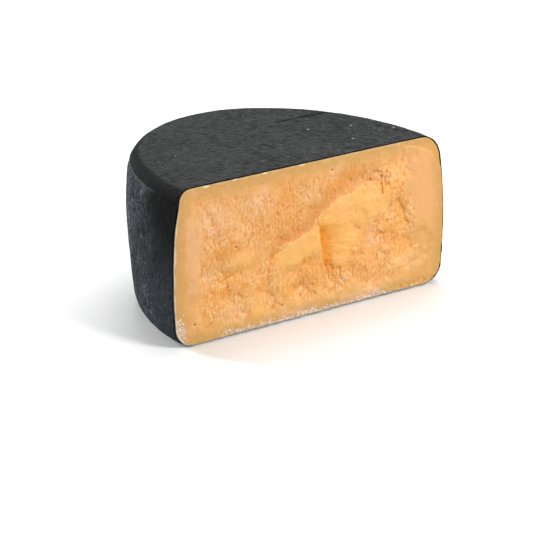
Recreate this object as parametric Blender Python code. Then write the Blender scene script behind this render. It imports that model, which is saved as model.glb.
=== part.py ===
"""Half of a small wheel of hard grating cheese in its black coat.

The wheel stands on one of its flat faces. It was opened along its middle: a knife
scored the rim of the cut, and the inside then broke away and left a rough face.

Metres, +Z up. The broken face looks along -Y. The origin is at the middle of the
bottom of the half's bounding box.
"""
import math

import bmesh
import bpy
import numpy as np

# The whole wheel.
WHEEL_DIAMETER = 0.260
WHEEL_HEIGHT = 0.120
TOP_CORNER_RIGHT = 0.020
TOP_CORNER_LEFT = 0.011
BOTTOM_CORNER_RADIUS = 0.0175
SIDE_BULGE = 0.005
SHOULDER_OUT = 0.0018
SHOULDER_START = 0.040
SHOULDER_FULL = 0.085
SHOULDER_END = 0.109
SHOULDER_SOFT = 0.020
SHOULDER_SHARP = 0.006
SHOULDER_AT_CUT = 0.45
SEGMENTS_ROUND = 120
SEGMENTS_PER_CORNER = 6
SEGMENTS_UP_SIDE = 14

# A soft wheel slumps as it ripens: its top sits off its bottom, and it isn't quite round.
SLUMP = 0.006
SLUMP_TOWARDS = math.radians(120.0)
DEPTH_STRETCH = 1.02

# The cut passes in front of the wheel's axis and leans back towards its top.
CUT_IN_FRONT = 0.0143
CUT_LEAN = 0.0056
GRID_STEP = 0.0028
CUTTER_MARGIN = 0.012
CUTTER_REACH = 0.170

# The wheel's axis, seen from the middle of the half's bounding box.
AXIS_X = 0.0002
AXIS_Y = -0.0570

# The break: how far its floor lies behind the knife's cut, and where the knife's border ends,
# as distances along the cut and up from the bottom.
BREAK_DEPTH = 0.0012
BREAK_LEFT = -0.114
BREAK_RIGHT = 0.100
BREAK_TOP = 0.113
BREAK_BOTTOM = 0.005
BORDER_SLOPE = 0.013
UNEVEN = 0.0008
UNEVEN_SIZE = 0.030
UNEVEN_SEED = 42

# The scraped zone over the ledge that runs from the tongue's tip up to the slit.
LEDGE = ((-0.038, 0.050), (-0.030, 0.057), (-0.018, 0.061), (-0.002, 0.066), (0.003, 0.073), (0.014, 0.080),
         (0.024, 0.086), (0.050, 0.090), (0.062, 0.089))
SCRAPE_DEPTH = 0.0013
SCRAPE_UP = 0.036
SCRAPE_LEFT = -0.050
SCRAPE_RIGHT = 0.070
SCRAPE_LEFT_SLOPE = 0.016
SCRAPE_RIGHT_SLOPE = 0.014
SCRAPE_EDGE = 0.0012

# The shelf under the tongue.
SHELF_DEPTH = 0.0006
SHELF_LEFT = -0.040
SHELF_RIGHT = 0.016
SHELF_TOP = 0.052
SHELF_BOTTOM = 0.008
SHELF_LEFT_SLOPE = 0.014
SHELF_RIGHT_SLOPE = 0.008
SHELF_TOP_SLOPE = 0.012
SHELF_BOTTOM_SLOPE = 0.016

# The tongue, a flat flake that points left.
TONGUE = ((-0.039, 0.049), (-0.030, 0.058), (-0.018, 0.062), (0.002, 0.068), (0.010, 0.060), (0.009, 0.049),
          (-0.010, 0.044), (-0.024, 0.039))
TONGUE_BACK = 0.0004
TONGUE_TIP_BACK = 0.0010
TONGUE_TIP = -0.040
TONGUE_TIP_START = -0.018
TONGUE_EDGE = 0.0036

# The hill, the large smooth form right of the tongue: it falls away from its crest.
HILL = ((-0.001, 0.066), (0.003, 0.074), (0.024, 0.087), (0.050, 0.091), (0.078, 0.086), (0.084, 0.070),
        (0.074, 0.048), (0.056, 0.030), (0.036, 0.019), (0.020, 0.020), (0.013, 0.034), (0.008, 0.056))
HILL_CREST = ((0.056, 0.084), (0.030, 0.074), (0.021, 0.056), (0.025, 0.032))
HILL_BACK = 0.0002
HILL_FALL = 0.0042
HILL_REACH = 0.052
HILL_EDGE = 0.014
HILL_SHARP_EDGE = 0.004
HILL_FLAT = 0.004
HILL_UNEVEN_SIZE = 0.022
HILL_UNEVEN_SEED = 57
HILL_SMOOTH_OUT = 0.040
HILL_SMOOTH_IN = 0.020

# Where the hill's edge is sharp: under the ledge, and at its upper left.
SHARP_UNDER = 0.014
SHARP_AT = 0.002
SHARP_RIGHT = 0.050
SHARP_LEFT = 0.036
SHARP_LOW = 0.050
SHARP_HIGH = 0.060

# The rift between the tongue and the hill: its line, and the share of its depth at each height.
RIFT = ((0.0190, 0.018), (0.0165, 0.024), (0.0135, 0.032), (0.0105, 0.042), (0.0085, 0.052), (0.0070, 0.066))
RIFT_DEEPENS = ((0.018, 0.0), (0.026, 0.40), (0.040, 0.85), (0.052, 1.0), (0.060, 0.70), (0.068, 0.0))
RIFT_DEPTH = 0.0056
RIFT_FLANK = 0.0085
RIFT_WALL = 0.0014
RIFT_REACH = 0.030
RIFT_FADES = 0.012

# The sink and the slit right of the hill, as lines with a depth and a reach.
SINK = ((0.086, 0.072), (0.090, 0.062), (0.090, 0.053))
SINK_DEPTH = 0.0020
SINK_WIDE = 0.0042
SLIT = ((0.067, 0.092), (0.070, 0.081))
SLIT_DEPTH = 0.0034
SLIT_WIDE = 0.0028

# Hollows and a bump low on the left, and a step low on the right.
LEFT_HOLLOWS = (((-0.076, 0.044), (0.018, 0.007)), ((-0.082, 0.031), (0.010, 0.008)),
                ((-0.046, 0.028), (0.009, 0.008)), ((-0.014, 0.021), (0.007, 0.006)))
HOLLOW_DEPTH = 0.0018
LEFT_BUMP = ((-0.063, 0.054), (0.008, 0.009))
BUMP_OUT = 0.0016
RIGHT_STEP = ((0.088, 0.046), (0.106, 0.048), (0.118, 0.040), (0.113, 0.024), (0.090, 0.018), (0.080, 0.030))
STEP_DEPTH = 0.0010
STEP_EDGE = 0.007

# Crags where the face broke roughly: sizes and heights of the large and the small ones. Above the
# ledge there are none, except at the right.
CRAGS_LEFT = 0.060
CRAGS_RIGHT = 0.078
CRAG_SIZE = 0.0120
CRAG_HEIGHT = 0.0012
CHUNK_SIZE = 0.0052
CHUNK_HEIGHT = 0.0008
CRAG_SEED = 51
CHUNK_SEED = 52
TORN_SIZE = 0.016
TORN_SEED = 64
TORN_LEAN = 0.1
TORN_FROM = 0.02
TORN_FULL = -0.20

# A flake's tilt, how far it is lifted and how sharply it is rounded, as shares of its size.
FLAKE_TILT = 0.45
FLAKE_LIFT = 0.8
FLAKE_ROUND = 1.1
FLAKE_MIDDLE = 0.45
PATTERN = 256


def ramp(start, end, value):
    """0 at start, 1 at end, with a smooth way between them."""
    t = np.clip((value - start) / (end - start), 0.0, 1.0)
    return t * t * (3.0 - 2.0 * t)


def distance_to(x, z, path):
    """Distance from each point to a line of straight runs."""
    nearest = np.full(x.shape, np.inf)
    for (x0, z0), (x1, z1) in zip(path[:-1], path[1:]):
        along_x = x1 - x0
        along_z = z1 - z0
        t = ((x - x0) * along_x + (z - z0) * along_z) / (along_x**2 + along_z**2)
        t = np.clip(t, 0.0, 1.0)
        nearest = np.minimum(nearest, np.hypot(x - x0 - t * along_x, z - z0 - t * along_z))
    return nearest


def patch(x, z, outline, edge):
    """1 inside an outline, 0 outside it, with a slope as wide as the edge between them."""
    loop = outline + outline[:1]
    inside = np.zeros(x.shape, dtype=bool)
    for (x0, z0), (x1, z1) in zip(loop[:-1], loop[1:]):
        crosses = (z0 > z) != (z1 > z)
        run = (x1 - x0) / (z1 - z0) if z1 != z0 else 0.0
        inside ^= crosses & (x < x0 + (z - z0) * run)
    distance = distance_to(x, z, loop)
    return ramp(-0.5 * edge, 0.5 * edge, np.where(inside, distance, -distance))


def mound(x, z, centre, reach):
    """1 at the centre, falling away like a bell with the given reach each way."""
    return np.exp(-((x - centre[0]) / reach[0]) ** 2 - ((z - centre[1]) / reach[1]) ** 2)


def cells(x, z, size):
    """The whole and the broken part of each point's place in a grid of cells."""
    u = x / size
    v = z / size
    whole_u = np.floor(u).astype(int)
    whole_v = np.floor(v).astype(int)
    return whole_u, whole_v, u - whole_u, v - whole_v


def waves(x, z, size, seed):
    """Smooth random waves between about -1 and 1."""
    turns = np.random.default_rng(seed).uniform(0.0, 2.0 * np.pi, (PATTERN, PATTERN))
    whole_u, whole_v, u, v = cells(x, z, size)

    def corner(du, dv):
        turn = turns[(whole_v + dv) % PATTERN, (whole_u + du) % PATTERN]
        return np.cos(turn) * (u - du) + np.sin(turn) * (v - dv)

    ease_u = u**3 * (u * (6.0 * u - 15.0) + 10.0)
    ease_v = v**3 * (v * (6.0 * v - 15.0) + 10.0)
    low = corner(0, 0) * (1.0 - ease_u) + corner(1, 0) * ease_u
    high = corner(0, 1) * (1.0 - ease_u) + corner(1, 1) * ease_u
    return 1.5 * (low * (1.0 - ease_v) + high * ease_v)


def rough(x, z, size, seed, octaves):
    """Waves on waves, each half as large and half as high."""
    total = np.zeros(x.shape)
    for octave in range(octaves):
        total += waves(x, z, size / 2**octave, seed + octave) / 2**octave
    return total


def flakes(x, z, size, seed):
    """Overlapping tilted flakes with creases between them, from about 0 to 1."""
    random = np.random.default_rng(seed)
    place = random.uniform(0.0, 1.0, (PATTERN, PATTERN, 2))
    tilt = random.normal(0.0, FLAKE_TILT, (PATTERN, PATTERN, 2))
    lift = random.uniform(0.0, FLAKE_LIFT, (PATTERN, PATTERN))
    whole_u, whole_v, u, v = cells(x, z, size)
    best = np.full(x.shape, -np.inf)
    for dv in (-1, 0, 1):
        for du in (-1, 0, 1):
            row = (whole_v + dv) % PATTERN
            column = (whole_u + du) % PATTERN
            off_u = u - du - place[row, column, 0]
            off_v = v - dv - place[row, column, 1]
            bend = tilt[row, column, 0] * off_u + tilt[row, column, 1] * off_v
            best = np.maximum(best, lift[row, column] + bend - FLAKE_ROUND * (off_u**2 + off_v**2))
    return best


def along(line, value, by_height=False):
    """The other coordinate of a line at each value of one coordinate."""
    known, wanted = (1, 0) if by_height else (0, 1)
    return np.interp(value, [point[known] for point in line], [point[wanted] for point in line])


def broken_inside(x, z):
    """1 where the face broke, 0 in the knife's border around it."""
    sides = ramp(BREAK_LEFT, BREAK_LEFT + BORDER_SLOPE, x) * ramp(BREAK_RIGHT, BREAK_RIGHT - BORDER_SLOPE, x)
    ends = ramp(BREAK_TOP, BREAK_TOP - BORDER_SLOPE, z) * ramp(BREAK_BOTTOM, BREAK_BOTTOM + BORDER_SLOPE, z)
    return sides * ends


def hollows(x, z, above):
    """The scraped zone, the shelf, the hollows, the bump and the step, added up."""
    scraped = ramp(-SCRAPE_EDGE, SCRAPE_EDGE, above) * ramp(SCRAPE_UP, 0.0, above)
    scraped *= ramp(SCRAPE_LEFT, SCRAPE_LEFT + SCRAPE_LEFT_SLOPE, x)
    scraped *= ramp(SCRAPE_RIGHT, SCRAPE_RIGHT - SCRAPE_RIGHT_SLOPE, x)
    height = -SCRAPE_DEPTH * scraped
    shelf = ramp(SHELF_LEFT, SHELF_LEFT + SHELF_LEFT_SLOPE, x)
    shelf *= ramp(SHELF_RIGHT, SHELF_RIGHT - SHELF_RIGHT_SLOPE, x)
    shelf *= ramp(SHELF_TOP, SHELF_TOP - SHELF_TOP_SLOPE, z)
    shelf *= ramp(SHELF_BOTTOM, SHELF_BOTTOM + SHELF_BOTTOM_SLOPE, z)
    height -= SHELF_DEPTH * shelf
    for centre, reach in LEFT_HOLLOWS:
        height -= HOLLOW_DEPTH * mound(x, z, centre, reach)
    height += BUMP_OUT * mound(x, z, *LEFT_BUMP)
    height -= STEP_DEPTH * patch(x, z, RIGHT_STEP, STEP_EDGE)
    return height


def relief(x, z):
    """How far the broken face stands out (above 0) or lies back (below 0) at each point."""
    inside = broken_inside(x, z)
    above = z - along(LEDGE, x)
    height = inside * (UNEVEN * rough(x, z, UNEVEN_SIZE, UNEVEN_SEED, 2) - BREAK_DEPTH)
    height += inside * hollows(x, z, above)

    crest_away = distance_to(x, z, HILL_CREST)
    hill = patch(x, z, HILL, HILL_EDGE)
    sharp = ramp(SHARP_UNDER, SHARP_AT, -above)
    sharp += ramp(SHARP_RIGHT, SHARP_LEFT, x) * ramp(SHARP_LOW, SHARP_HIGH, z)
    hill = np.maximum(hill, patch(x, z, HILL, HILL_SHARP_EDGE) * np.minimum(sharp, 1.0))
    hill_height = -HILL_BACK - HILL_FALL * ramp(HILL_FLAT, HILL_REACH, crest_away)
    hill_height += UNEVEN * rough(x, z, HILL_UNEVEN_SIZE, HILL_UNEVEN_SEED, 2)
    height += (hill_height - height) * hill
    tongue = patch(x, z, TONGUE, TONGUE_EDGE)
    tongue_height = -TONGUE_BACK - TONGUE_TIP_BACK * ramp(TONGUE_TIP_START, TONGUE_TIP, x)
    height += (tongue_height - height) * tongue

    right = x - along(RIFT, z, by_height=True)
    deep = RIFT_DEPTH * along(RIFT_DEEPENS, z)
    flank = np.exp(-np.maximum(right, 0.0) / RIFT_FLANK) * ramp(RIFT_REACH, RIFT_FADES, right)
    height -= deep * np.where(right > 0.0, flank, ramp(-RIFT_WALL, 0.0, right))

    height -= SINK_DEPTH * np.exp(-(distance_to(x, z, SINK) / SINK_WIDE) ** 2)
    height -= SLIT_DEPTH * np.exp(-(distance_to(x, z, SLIT) / SLIT_WIDE) ** 2)

    smooth = np.maximum(tongue, hill * ramp(HILL_SMOOTH_OUT, HILL_SMOOTH_IN, crest_away))
    upper = ramp(-SCRAPE_EDGE, SCRAPE_EDGE, above) * ramp(CRAGS_RIGHT, CRAGS_LEFT, x)
    craggy = inside * (1.0 - smooth) * (1.0 - upper)
    height += craggy * CRAG_HEIGHT * (flakes(x, z, CRAG_SIZE, CRAG_SEED) - FLAKE_MIDDLE)
    torn = ramp(TORN_FROM, TORN_FULL, rough(x + TORN_LEAN * z, z, TORN_SIZE, TORN_SEED, 5))
    height += craggy * torn * CHUNK_HEIGHT * (flakes(x, z, CHUNK_SIZE, CHUNK_SEED) - FLAKE_MIDDLE)
    return height


def wheel_profile(around):
    """The rim's outline at an angle, from its bottom edge, out and up, to its top edge."""
    radius = WHEEL_DIAMETER / 2
    half = WHEEL_HEIGHT / 2
    to_left = 0.5 - 0.5 * math.cos(around)
    to_back = min(max(1.5 * math.sin(around), 0.0), 1.0)
    fall = SHOULDER_SOFT + (SHOULDER_SHARP - SHOULDER_SOFT) * to_back
    out = SHOULDER_OUT * to_left * (SHOULDER_AT_CUT + (1.0 - SHOULDER_AT_CUT) * to_back)

    def side(z):
        shoulder = ramp(SHOULDER_START, SHOULDER_FULL, z) * ramp(SHOULDER_END, SHOULDER_END - fall, z)
        return radius - SIDE_BULGE * ((z - half) / half) ** 2 + out * float(shoulder)

    low = BOTTOM_CORNER_RADIUS
    round_in = TOP_CORNER_RIGHT + (TOP_CORNER_LEFT - TOP_CORNER_RIGHT) * to_left
    high = WHEEL_HEIGHT - round_in
    points = []
    for i in range(SEGMENTS_PER_CORNER + 1):
        turn = math.radians(-90.0 + 90.0 * i / SEGMENTS_PER_CORNER)
        points.append((side(low) - low + low * math.cos(turn), low + low * math.sin(turn)))
    for i in range(1, SEGMENTS_UP_SIDE):
        z = low + (high - low) * i / SEGMENTS_UP_SIDE
        points.append((side(z), z))
    for i in range(SEGMENTS_PER_CORNER + 1):
        turn = math.radians(90.0 * i / SEGMENTS_PER_CORNER)
        points.append((side(high) - round_in + round_in * math.cos(turn), high + round_in * math.sin(turn)))
    return points


def slumped(radius, around, z):
    """A point of the rim, with the wheel's lean and its slightly stretched plan."""
    lean = SLUMP * math.cos(2.0 * (around - SLUMP_TOWARDS))
    grown = radius * (1.0 + lean / (WHEEL_DIAMETER / 2) * (z / WHEEL_HEIGHT * 2.0 - 1.0))
    return (grown * math.cos(around), DEPTH_STRETCH * grown * math.sin(around), z)


def principled(name, colour, roughness):
    material = bpy.data.materials.new(name)
    material.use_nodes = True
    shader = material.node_tree.nodes["Principled BSDF"]
    shader.inputs["Base Color"].default_value = (*colour, 1.0)
    shader.inputs["Roughness"].default_value = roughness
    shader.inputs["Metallic"].default_value = 0.0
    material.diffuse_color = (*colour, 1.0)
    return material


def new_object(name, mesh_builder, material):
    mesh = bpy.data.meshes.new(name)
    mesh_builder.to_mesh(mesh)
    mesh_builder.free()
    mesh.materials.append(material)
    thing = bpy.data.objects.new(name, mesh)
    bpy.context.scene.collection.objects.link(thing)
    return thing


def make_wheel(material):
    """The whole wheel: its rim's outline carried once round, with a fan of triangles above and below."""
    build = bmesh.new()
    columns = []
    for k in range(SEGMENTS_ROUND):
        around = 2.0 * math.pi * k / SEGMENTS_ROUND
        columns.append([build.verts.new(slumped(r, around, z)) for r, z in wheel_profile(around)])
    bottom = build.verts.new((0.0, 0.0, 0.0))
    top = build.verts.new((0.0, 0.0, WHEEL_HEIGHT))
    for here, following in zip(columns, columns[1:] + columns[:1]):
        build.faces.new((bottom, following[0], here[0]))
        for low, high in zip(range(len(here) - 1), range(1, len(here))):
            build.faces.new((here[low], following[low], following[high], here[high]))
        build.faces.new((top, here[-1], following[-1]))
    bmesh.ops.recalc_face_normals(build, faces=build.faces)
    return new_object("cheese_half", build, material)


def make_cutter(material):
    """A block in front of the wheel whose back is the broken face."""
    half_width = WHEEL_DIAMETER / 2 + CUTTER_MARGIN
    columns = round(2 * half_width / GRID_STEP)
    rows = round((WHEEL_HEIGHT + 2 * CUTTER_MARGIN) / GRID_STEP)
    across, up = np.meshgrid(np.linspace(-half_width, half_width, columns + 1),
                             np.linspace(-CUTTER_MARGIN, WHEEL_HEIGHT + CUTTER_MARGIN, rows + 1))
    plane = -CUT_IN_FRONT + CUT_LEAN * (up / WHEEL_HEIGHT * 2.0 - 1.0)
    depth = plane - relief(across, up)

    build = bmesh.new()
    grid = [[build.verts.new((across[j, i], depth[j, i], up[j, i])) for i in range(columns + 1)]
            for j in range(rows + 1)]
    for j in range(rows):
        for i in range(columns):
            build.faces.new((grid[j][i], grid[j][i + 1], grid[j + 1][i + 1], grid[j + 1][i]))
    bmesh.ops.triangulate(build, faces=build.faces)
    rim = [edge for edge in build.edges if edge.is_boundary]
    pulled = bmesh.ops.extrude_edge_only(build, edges=rim)["geom"]
    for vertex in pulled:
        if isinstance(vertex, bmesh.types.BMVert):
            vertex.co.y = -CUTTER_REACH
    bmesh.ops.holes_fill(build, edges=[edge for edge in build.edges if edge.is_boundary], sides=0)
    bmesh.ops.recalc_face_normals(build, faces=build.faces)
    cutter = new_object("cut_guide", build, material)
    cutter.hide_render = True
    cutter.display_type = "WIRE"
    return cutter


def main():
    for thing in list(bpy.data.objects):
        bpy.data.objects.remove(thing, do_unlink=True)

    cheese = principled("cheese", (0.86, 0.50, 0.19), 0.55)
    half = make_wheel(cheese)
    cutter = make_cutter(cheese)
    half.location = (AXIS_X, AXIS_Y, 0.0)
    cutter.location = (AXIS_X, AXIS_Y, 0.0)

    cut = half.modifiers.new("open the wheel", "BOOLEAN")
    cut.operation = "DIFFERENCE"
    cut.solver = "EXACT"
    cut.object = cutter
    half.data.shade_smooth()
    half.data.set_sharp_from_angle(angle=math.radians(35.0))


main()
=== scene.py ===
"""Half of a small wheel of hard grating cheese in its black coat.

The pieces are the paste with its broken face, the thin coat round it and the crumbs on it.
Metres, +Z up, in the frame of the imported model: the broken face looks along -Y.
"""
import math

import bmesh
import bpy
import numpy as np
from mathutils import Matrix
from mathutils import Vector
from mathutils import noise


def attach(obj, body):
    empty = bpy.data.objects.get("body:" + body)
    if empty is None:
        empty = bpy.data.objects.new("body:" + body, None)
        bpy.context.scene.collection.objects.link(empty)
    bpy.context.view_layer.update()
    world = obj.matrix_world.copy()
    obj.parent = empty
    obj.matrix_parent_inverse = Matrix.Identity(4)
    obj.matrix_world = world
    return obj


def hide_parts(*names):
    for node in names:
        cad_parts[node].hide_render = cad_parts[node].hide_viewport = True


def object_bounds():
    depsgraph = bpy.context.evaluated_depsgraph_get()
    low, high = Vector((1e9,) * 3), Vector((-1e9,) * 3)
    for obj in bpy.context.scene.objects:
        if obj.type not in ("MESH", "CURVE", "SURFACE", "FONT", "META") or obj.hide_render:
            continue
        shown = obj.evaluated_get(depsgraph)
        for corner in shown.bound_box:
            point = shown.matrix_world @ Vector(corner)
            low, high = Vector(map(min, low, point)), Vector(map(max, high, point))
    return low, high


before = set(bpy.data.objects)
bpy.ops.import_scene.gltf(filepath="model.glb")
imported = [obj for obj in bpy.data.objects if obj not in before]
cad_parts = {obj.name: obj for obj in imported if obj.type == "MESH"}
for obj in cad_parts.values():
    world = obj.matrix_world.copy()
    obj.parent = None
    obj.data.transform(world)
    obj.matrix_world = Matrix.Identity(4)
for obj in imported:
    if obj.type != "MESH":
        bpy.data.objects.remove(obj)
cad_box = [list(corner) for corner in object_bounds()]

# The wheel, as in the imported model.
HEIGHT = cad_box[1][2]
RADIUS = 0.130
TOP_CORNER_RIGHT = 0.020
TOP_CORNER_LEFT = 0.011
BOTTOM_CORNER = 0.0175
SIDE_BULGE = 0.005
SHOULDER_OUT = 0.0018
SHOULDER_START = 0.040
SHOULDER_FULL = 0.085
SHOULDER_END = 0.109
SHOULDER_SOFT = 0.020
SHOULDER_SHARP = 0.006
SHOULDER_AT_CUT = 0.45
SHOULDER_SOONER = 1.5
SLUMP = 0.006
SLUMP_TOWARDS = math.radians(120.0)
DEPTH_STRETCH = 1.02
CUT_IN_FRONT = 0.0143
CUT_LEAN = 0.0056
AXIS_X = 0.0002
AXIS_Y = -0.0570

# The skins, as depths inside the model's own surface.
COAT_INSET = 0.0003
COAT_THICKNESS = 0.0011
PASTE_INSET = 0.0013
HIDDEN_SETBACK = 0.005

# Mesh densities.
FACE_COLUMNS = 420
FACE_LOW_ROWS = 27
FACE_SIDE_ROWS = 132
FACE_HIGH_ROWS = 30
HIDDEN_FLAT_ROWS = 8
COAT_COLUMNS = 300
COAT_ROWS = {"low_rows": 24, "side_rows": 75, "high_rows": 60, "bottom_rows": 24, "top_rows": 99}
COARSE = 3

# The random grids: how many cells they repeat after, how high waves and how sharp ridges are,
# and how much flakes tilt, differ in height and curve down.
CELLS = 256
WAVE_GAIN = 1.5
RIDGE_SHARPNESS = 1.9
FLAKE_TILT = 0.45
FLAKE_LIFT = 0.8
FLAKE_CURVE = 1.1

# The broken face: depths and heights against the knife's cut.
BREAK_DEPTH = 0.0012
SCRAPE_DEPTH = 0.0013
SHELF_DEPTH = 0.0006
HILL_TOP = -0.0002
HILL_FALL = 0.0042
TONGUE_TOP = -0.0004
TONGUE_FALL = 0.0010
TONGUE_WAVE = 0.0003
RIFT_DEPTH = 0.0056
RIFT_FLANK = 0.0085
RIFT_WALL = 0.0014
SINK_DEPTH = 0.0014
SINK_REACH = 0.0042
HOLLOW_DEPTH = 0.0018
BUMP_HEIGHT = 0.0016
STEP_DEPTH = 0.0010
LOW_PLATE_LIFT = 0.0007
RIM_DEPTH = 0.0007
CALM_HEIGHT = 0.00030
TORN_HEIGHT = 0.00022
STRIP_HEIGHT = 0.00036
COMBED_HEIGHT = 0.0004
LUMP_HEIGHT = 0.0010
CHUNK_HEIGHT = 0.0009
GRAIN_HEIGHT = 0.00030
LOWER_TORN_HEIGHT = 0.00016
HACKLE_HEIGHT = 0.00030
FINE_HACKLE_HEIGHT = 0.00020
RAY_HEIGHT = 0.00026
SLIT_DEPTH = 0.0015
CRACK_DEPTH = 0.0005
CRACK_HALF_WIDTH = 0.0006
CRUMBLY_HEIGHT = 0.0010
KNIFE_MARK_HEIGHT = 0.00003
BORDER_DEPTH = 0.00022
CRUST_HEIGHT = 0.0008
PIT_DEPTH = 0.0016
PIT_REACH = (0.0009, 0.0008)

# Shares: how much of one thing is left under another.
CALMED = 0.4
SMOOTHED = 0.94
QUIETED = 0.85
SOFTENED = 0.55
CALM_TEXTURE = 0.10

# How wide the slopes at the edges of flat forms are.
STEP_EDGE = 0.007
LOW_PLATE_EDGE = 0.0012
HILL_EDGE = 0.014
HILL_LEFT_EDGE = 0.003
HILL_LEDGE_EDGE = 0.002
TONGUE_EDGE = 0.0036
TONGUE_LOW_EDGE = 0.0080
CORNER_EDGE = 0.0014

# Where forms come in, from nothing to full, along the cut, upwards or away from something.
BREAK_LEFT = (-0.114, -0.100)
BREAK_RIGHT = (0.100, 0.090)
BREAK_TOP = (0.113, 0.099)
BREAK_BOTTOM = (0.005, 0.017)
LEDGE_STEP = (-0.0014, 0.0010)
SCRAPED_UP = (0.036, 0.001)
SCRAPED_LEFT = (-0.050, -0.034)
SCRAPED_RIGHT = (0.070, 0.056)
# The painted shade above the ledge fades out upwards over this reach.
SHADED_UP = (0.026, 0.002)
SHELF_LEFT = (-0.040, -0.026)
SHELF_RIGHT = (0.016, 0.008)
SHELF_TOP = (0.052, 0.040)
SHELF_BOTTOM = (0.008, 0.024)
HILL_CRISP_ACROSS = (0.060, 0.046)
HILL_CRISP_UP = (0.050, 0.060)
HILL_BY_LEDGE = (0.014, 0.002)
HILL_SMOOTH = (0.027, 0.011)
HILL_FALLS = (0.004, 0.052)
TONGUE_LOW = (-0.004, -0.012)
TONGUE_FALLS = (-0.018, -0.040)
FLANK_ENDS = (0.030, 0.012)
CORNER_UP = (0.040, 0.060)
RIM_ACROSS = (0.082, 0.088)
RIM_UP = (0.088, 0.100)
UPPER_ACROSS = (0.078, 0.060)
UPPER_UP = (0.040, 0.060)
STRONG_PARTS = (0.02, -0.20)
HACKLE_ENDS = (0.032, 0.003)
HACKLE_STARTS = (-0.001, 0.002)
HACKLE_BOTTOM = (0.016, 0.026)
HACKLE_TOP = (0.078, 0.068)
HACKLE_WEAKENS = (0.056, 0.042)
RAYS_START = (0.010, 0.020)
RAYS_END = (0.085, 0.030)
CRUST_UP = (0.0075, 0.0020)
CRUST_LEFT = (-0.095, -0.078)
CRUST_RIGHT = (0.085, 0.070)

# Random textures of the face: their height or reach, size, seed, layers and stretch.
WANDER_X = (0.0016, 0.010, 11, 4)
WANDER_Z = (0.0016, 0.010, 21, 4)
BREAK_WANDER_X = (0.007, 0.024, 31, 4)
BREAK_WANDER_Z = (0.005, 0.024, 41, 4)
FACE_SWELL = (0.0008, 0.030, 42, 2)
HILL_SWELL = (0.0008, 0.022, 57, 3)
SMOOTH_WANDER = (0.006, 0.014, 93, 3)
RIFT_WANDER = (0.0010, 0.007, 63, 3)
STRONG_TEXTURE = (1.0, 0.016, 64, 5, 1.4)
LEAN_WANDER = (0.0050, 0.022, 73, 3)
CALM_SWELL = (0.00016, 0.0030, 76, 2)
CRACK_GAPS = (1.0, 0.0060, 95, 3)
BORDER_SWELL = (0.00014, 0.008, 68, 4)
CRUST_WANDER = (0.002, 0.010, 77, 2)
SMEAR_WANDER = (0.45, 0.008, 71, 3)
# The uneven edges of the spots of painted shade.
PAINTED_SHADE_WANDER = (0.30, 0.004, 84, 3)
AMBER_WANDER = (0.35, 0.010, 91, 4)
YELLOW_WANDER = (0.25, 0.007, 92, 3)
DRY_WANDER = (0.50, 0.004, 72, 3)
TINT_TEXTURE = (1.0, 0.030, 90, 4)
EDGE_WANDER = (0.0012, 0.0100, 85, 3)
CHIP_WANDER = (0.20, 0.003, 96, 2)
RIND_WANDER = (0.0016, 0.020, 79, 2)
FLECKED_TEXTURE = (1.0, 0.006, 86, 3)
COAT_EDGE_TEXTURE = (1.0, 0.011, 81, 3)
COAT_WANDER = (0.010, 0.030, 87, 4)

# Waves, ridges and flakes of the face: their size, seed and stretch.
TONGUE_WAVES = (0.008, 56)
TORN = (0.0034, 54, 3.2)
TORN_FINE = (0.0021, 55, 2.6)
STRIPS = (0.0034, 88, 3.2)
SLIVERS = (0.0019, 89, 2.6)
COMB = (0.0034, 75, 3.6)
LUMPS = (0.0120, 51)
CHUNKS = (0.0052, 52)
GRAINS = (0.0021, 53, 1.8)
LOWER_TORN = (0.0032, 65, 3.0)
HACKLE = (0.012, 58, 0.10)
FINE_HACKLE = (0.008, 66, 0.09)
RAYS = (0.02, 67, 0.05)
SLIT_WAVES = (0.0030, 94)
COARSE_CRUMBS = (0.0034, 59)
FINE_CRUMBS = (0.0019, 60)
KNIFE_MARKS = (0.0016, 61, 12.0)
CRUST_FLAKES = (0.0022, 78)

# The broken face: lines and outlines, as distances along the cut and up from the bottom.
LEDGE = ((-0.038, 0.050), (-0.030, 0.057), (-0.018, 0.061), (-0.002, 0.066), (0.003, 0.073), (0.014, 0.080),
         (0.024, 0.086), (0.050, 0.090), (0.062, 0.089))
TONGUE = ((-0.039, 0.049), (-0.030, 0.058), (-0.018, 0.062), (0.002, 0.068), (0.010, 0.060), (0.009, 0.049),
          (-0.010, 0.044), (-0.024, 0.039))
HILL = ((-0.001, 0.066), (0.003, 0.074), (0.024, 0.087), (0.050, 0.091), (0.078, 0.086), (0.084, 0.070),
        (0.074, 0.048), (0.056, 0.030), (0.036, 0.019), (0.020, 0.020), (0.013, 0.034), (0.008, 0.056))
HILL_CREST = ((0.056, 0.084), (0.030, 0.074), (0.021, 0.056), (0.025, 0.032))
RIFT = ((0.0190, 0.018), (0.0165, 0.024), (0.0135, 0.032), (0.0105, 0.042), (0.0085, 0.052), (0.0070, 0.066))
RIFT_DEEPENS = ((0.018, 0.0), (0.026, 0.40), (0.040, 0.85), (0.052, 1.0), (0.060, 0.70), (0.068, 0.0))
FLANK_GLOWS = ((0.018, 0.0), (0.030, 0.45), (0.045, 0.85), (0.058, 1.0), (0.066, 0.8), (0.073, 0.0))
GLOW_REACH = 0.0125
HACKLE_FAN = (0.062, 0.050, 0.30, 0.02)
RAYS_FROM = (-0.006, 0.058)
RAYS_ROUND = 0.02
SINK = ((0.086, 0.072), (0.090, 0.062), (0.090, 0.053))
SLITS = (((0.0672, 0.096), (0.0664, 0.089), (0.0676, 0.081)),
         ((0.0716, 0.098), (0.0704, 0.092), (0.0712, 0.086)),
         ((0.0565, 0.0945), (0.0575, 0.0930)))
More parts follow.
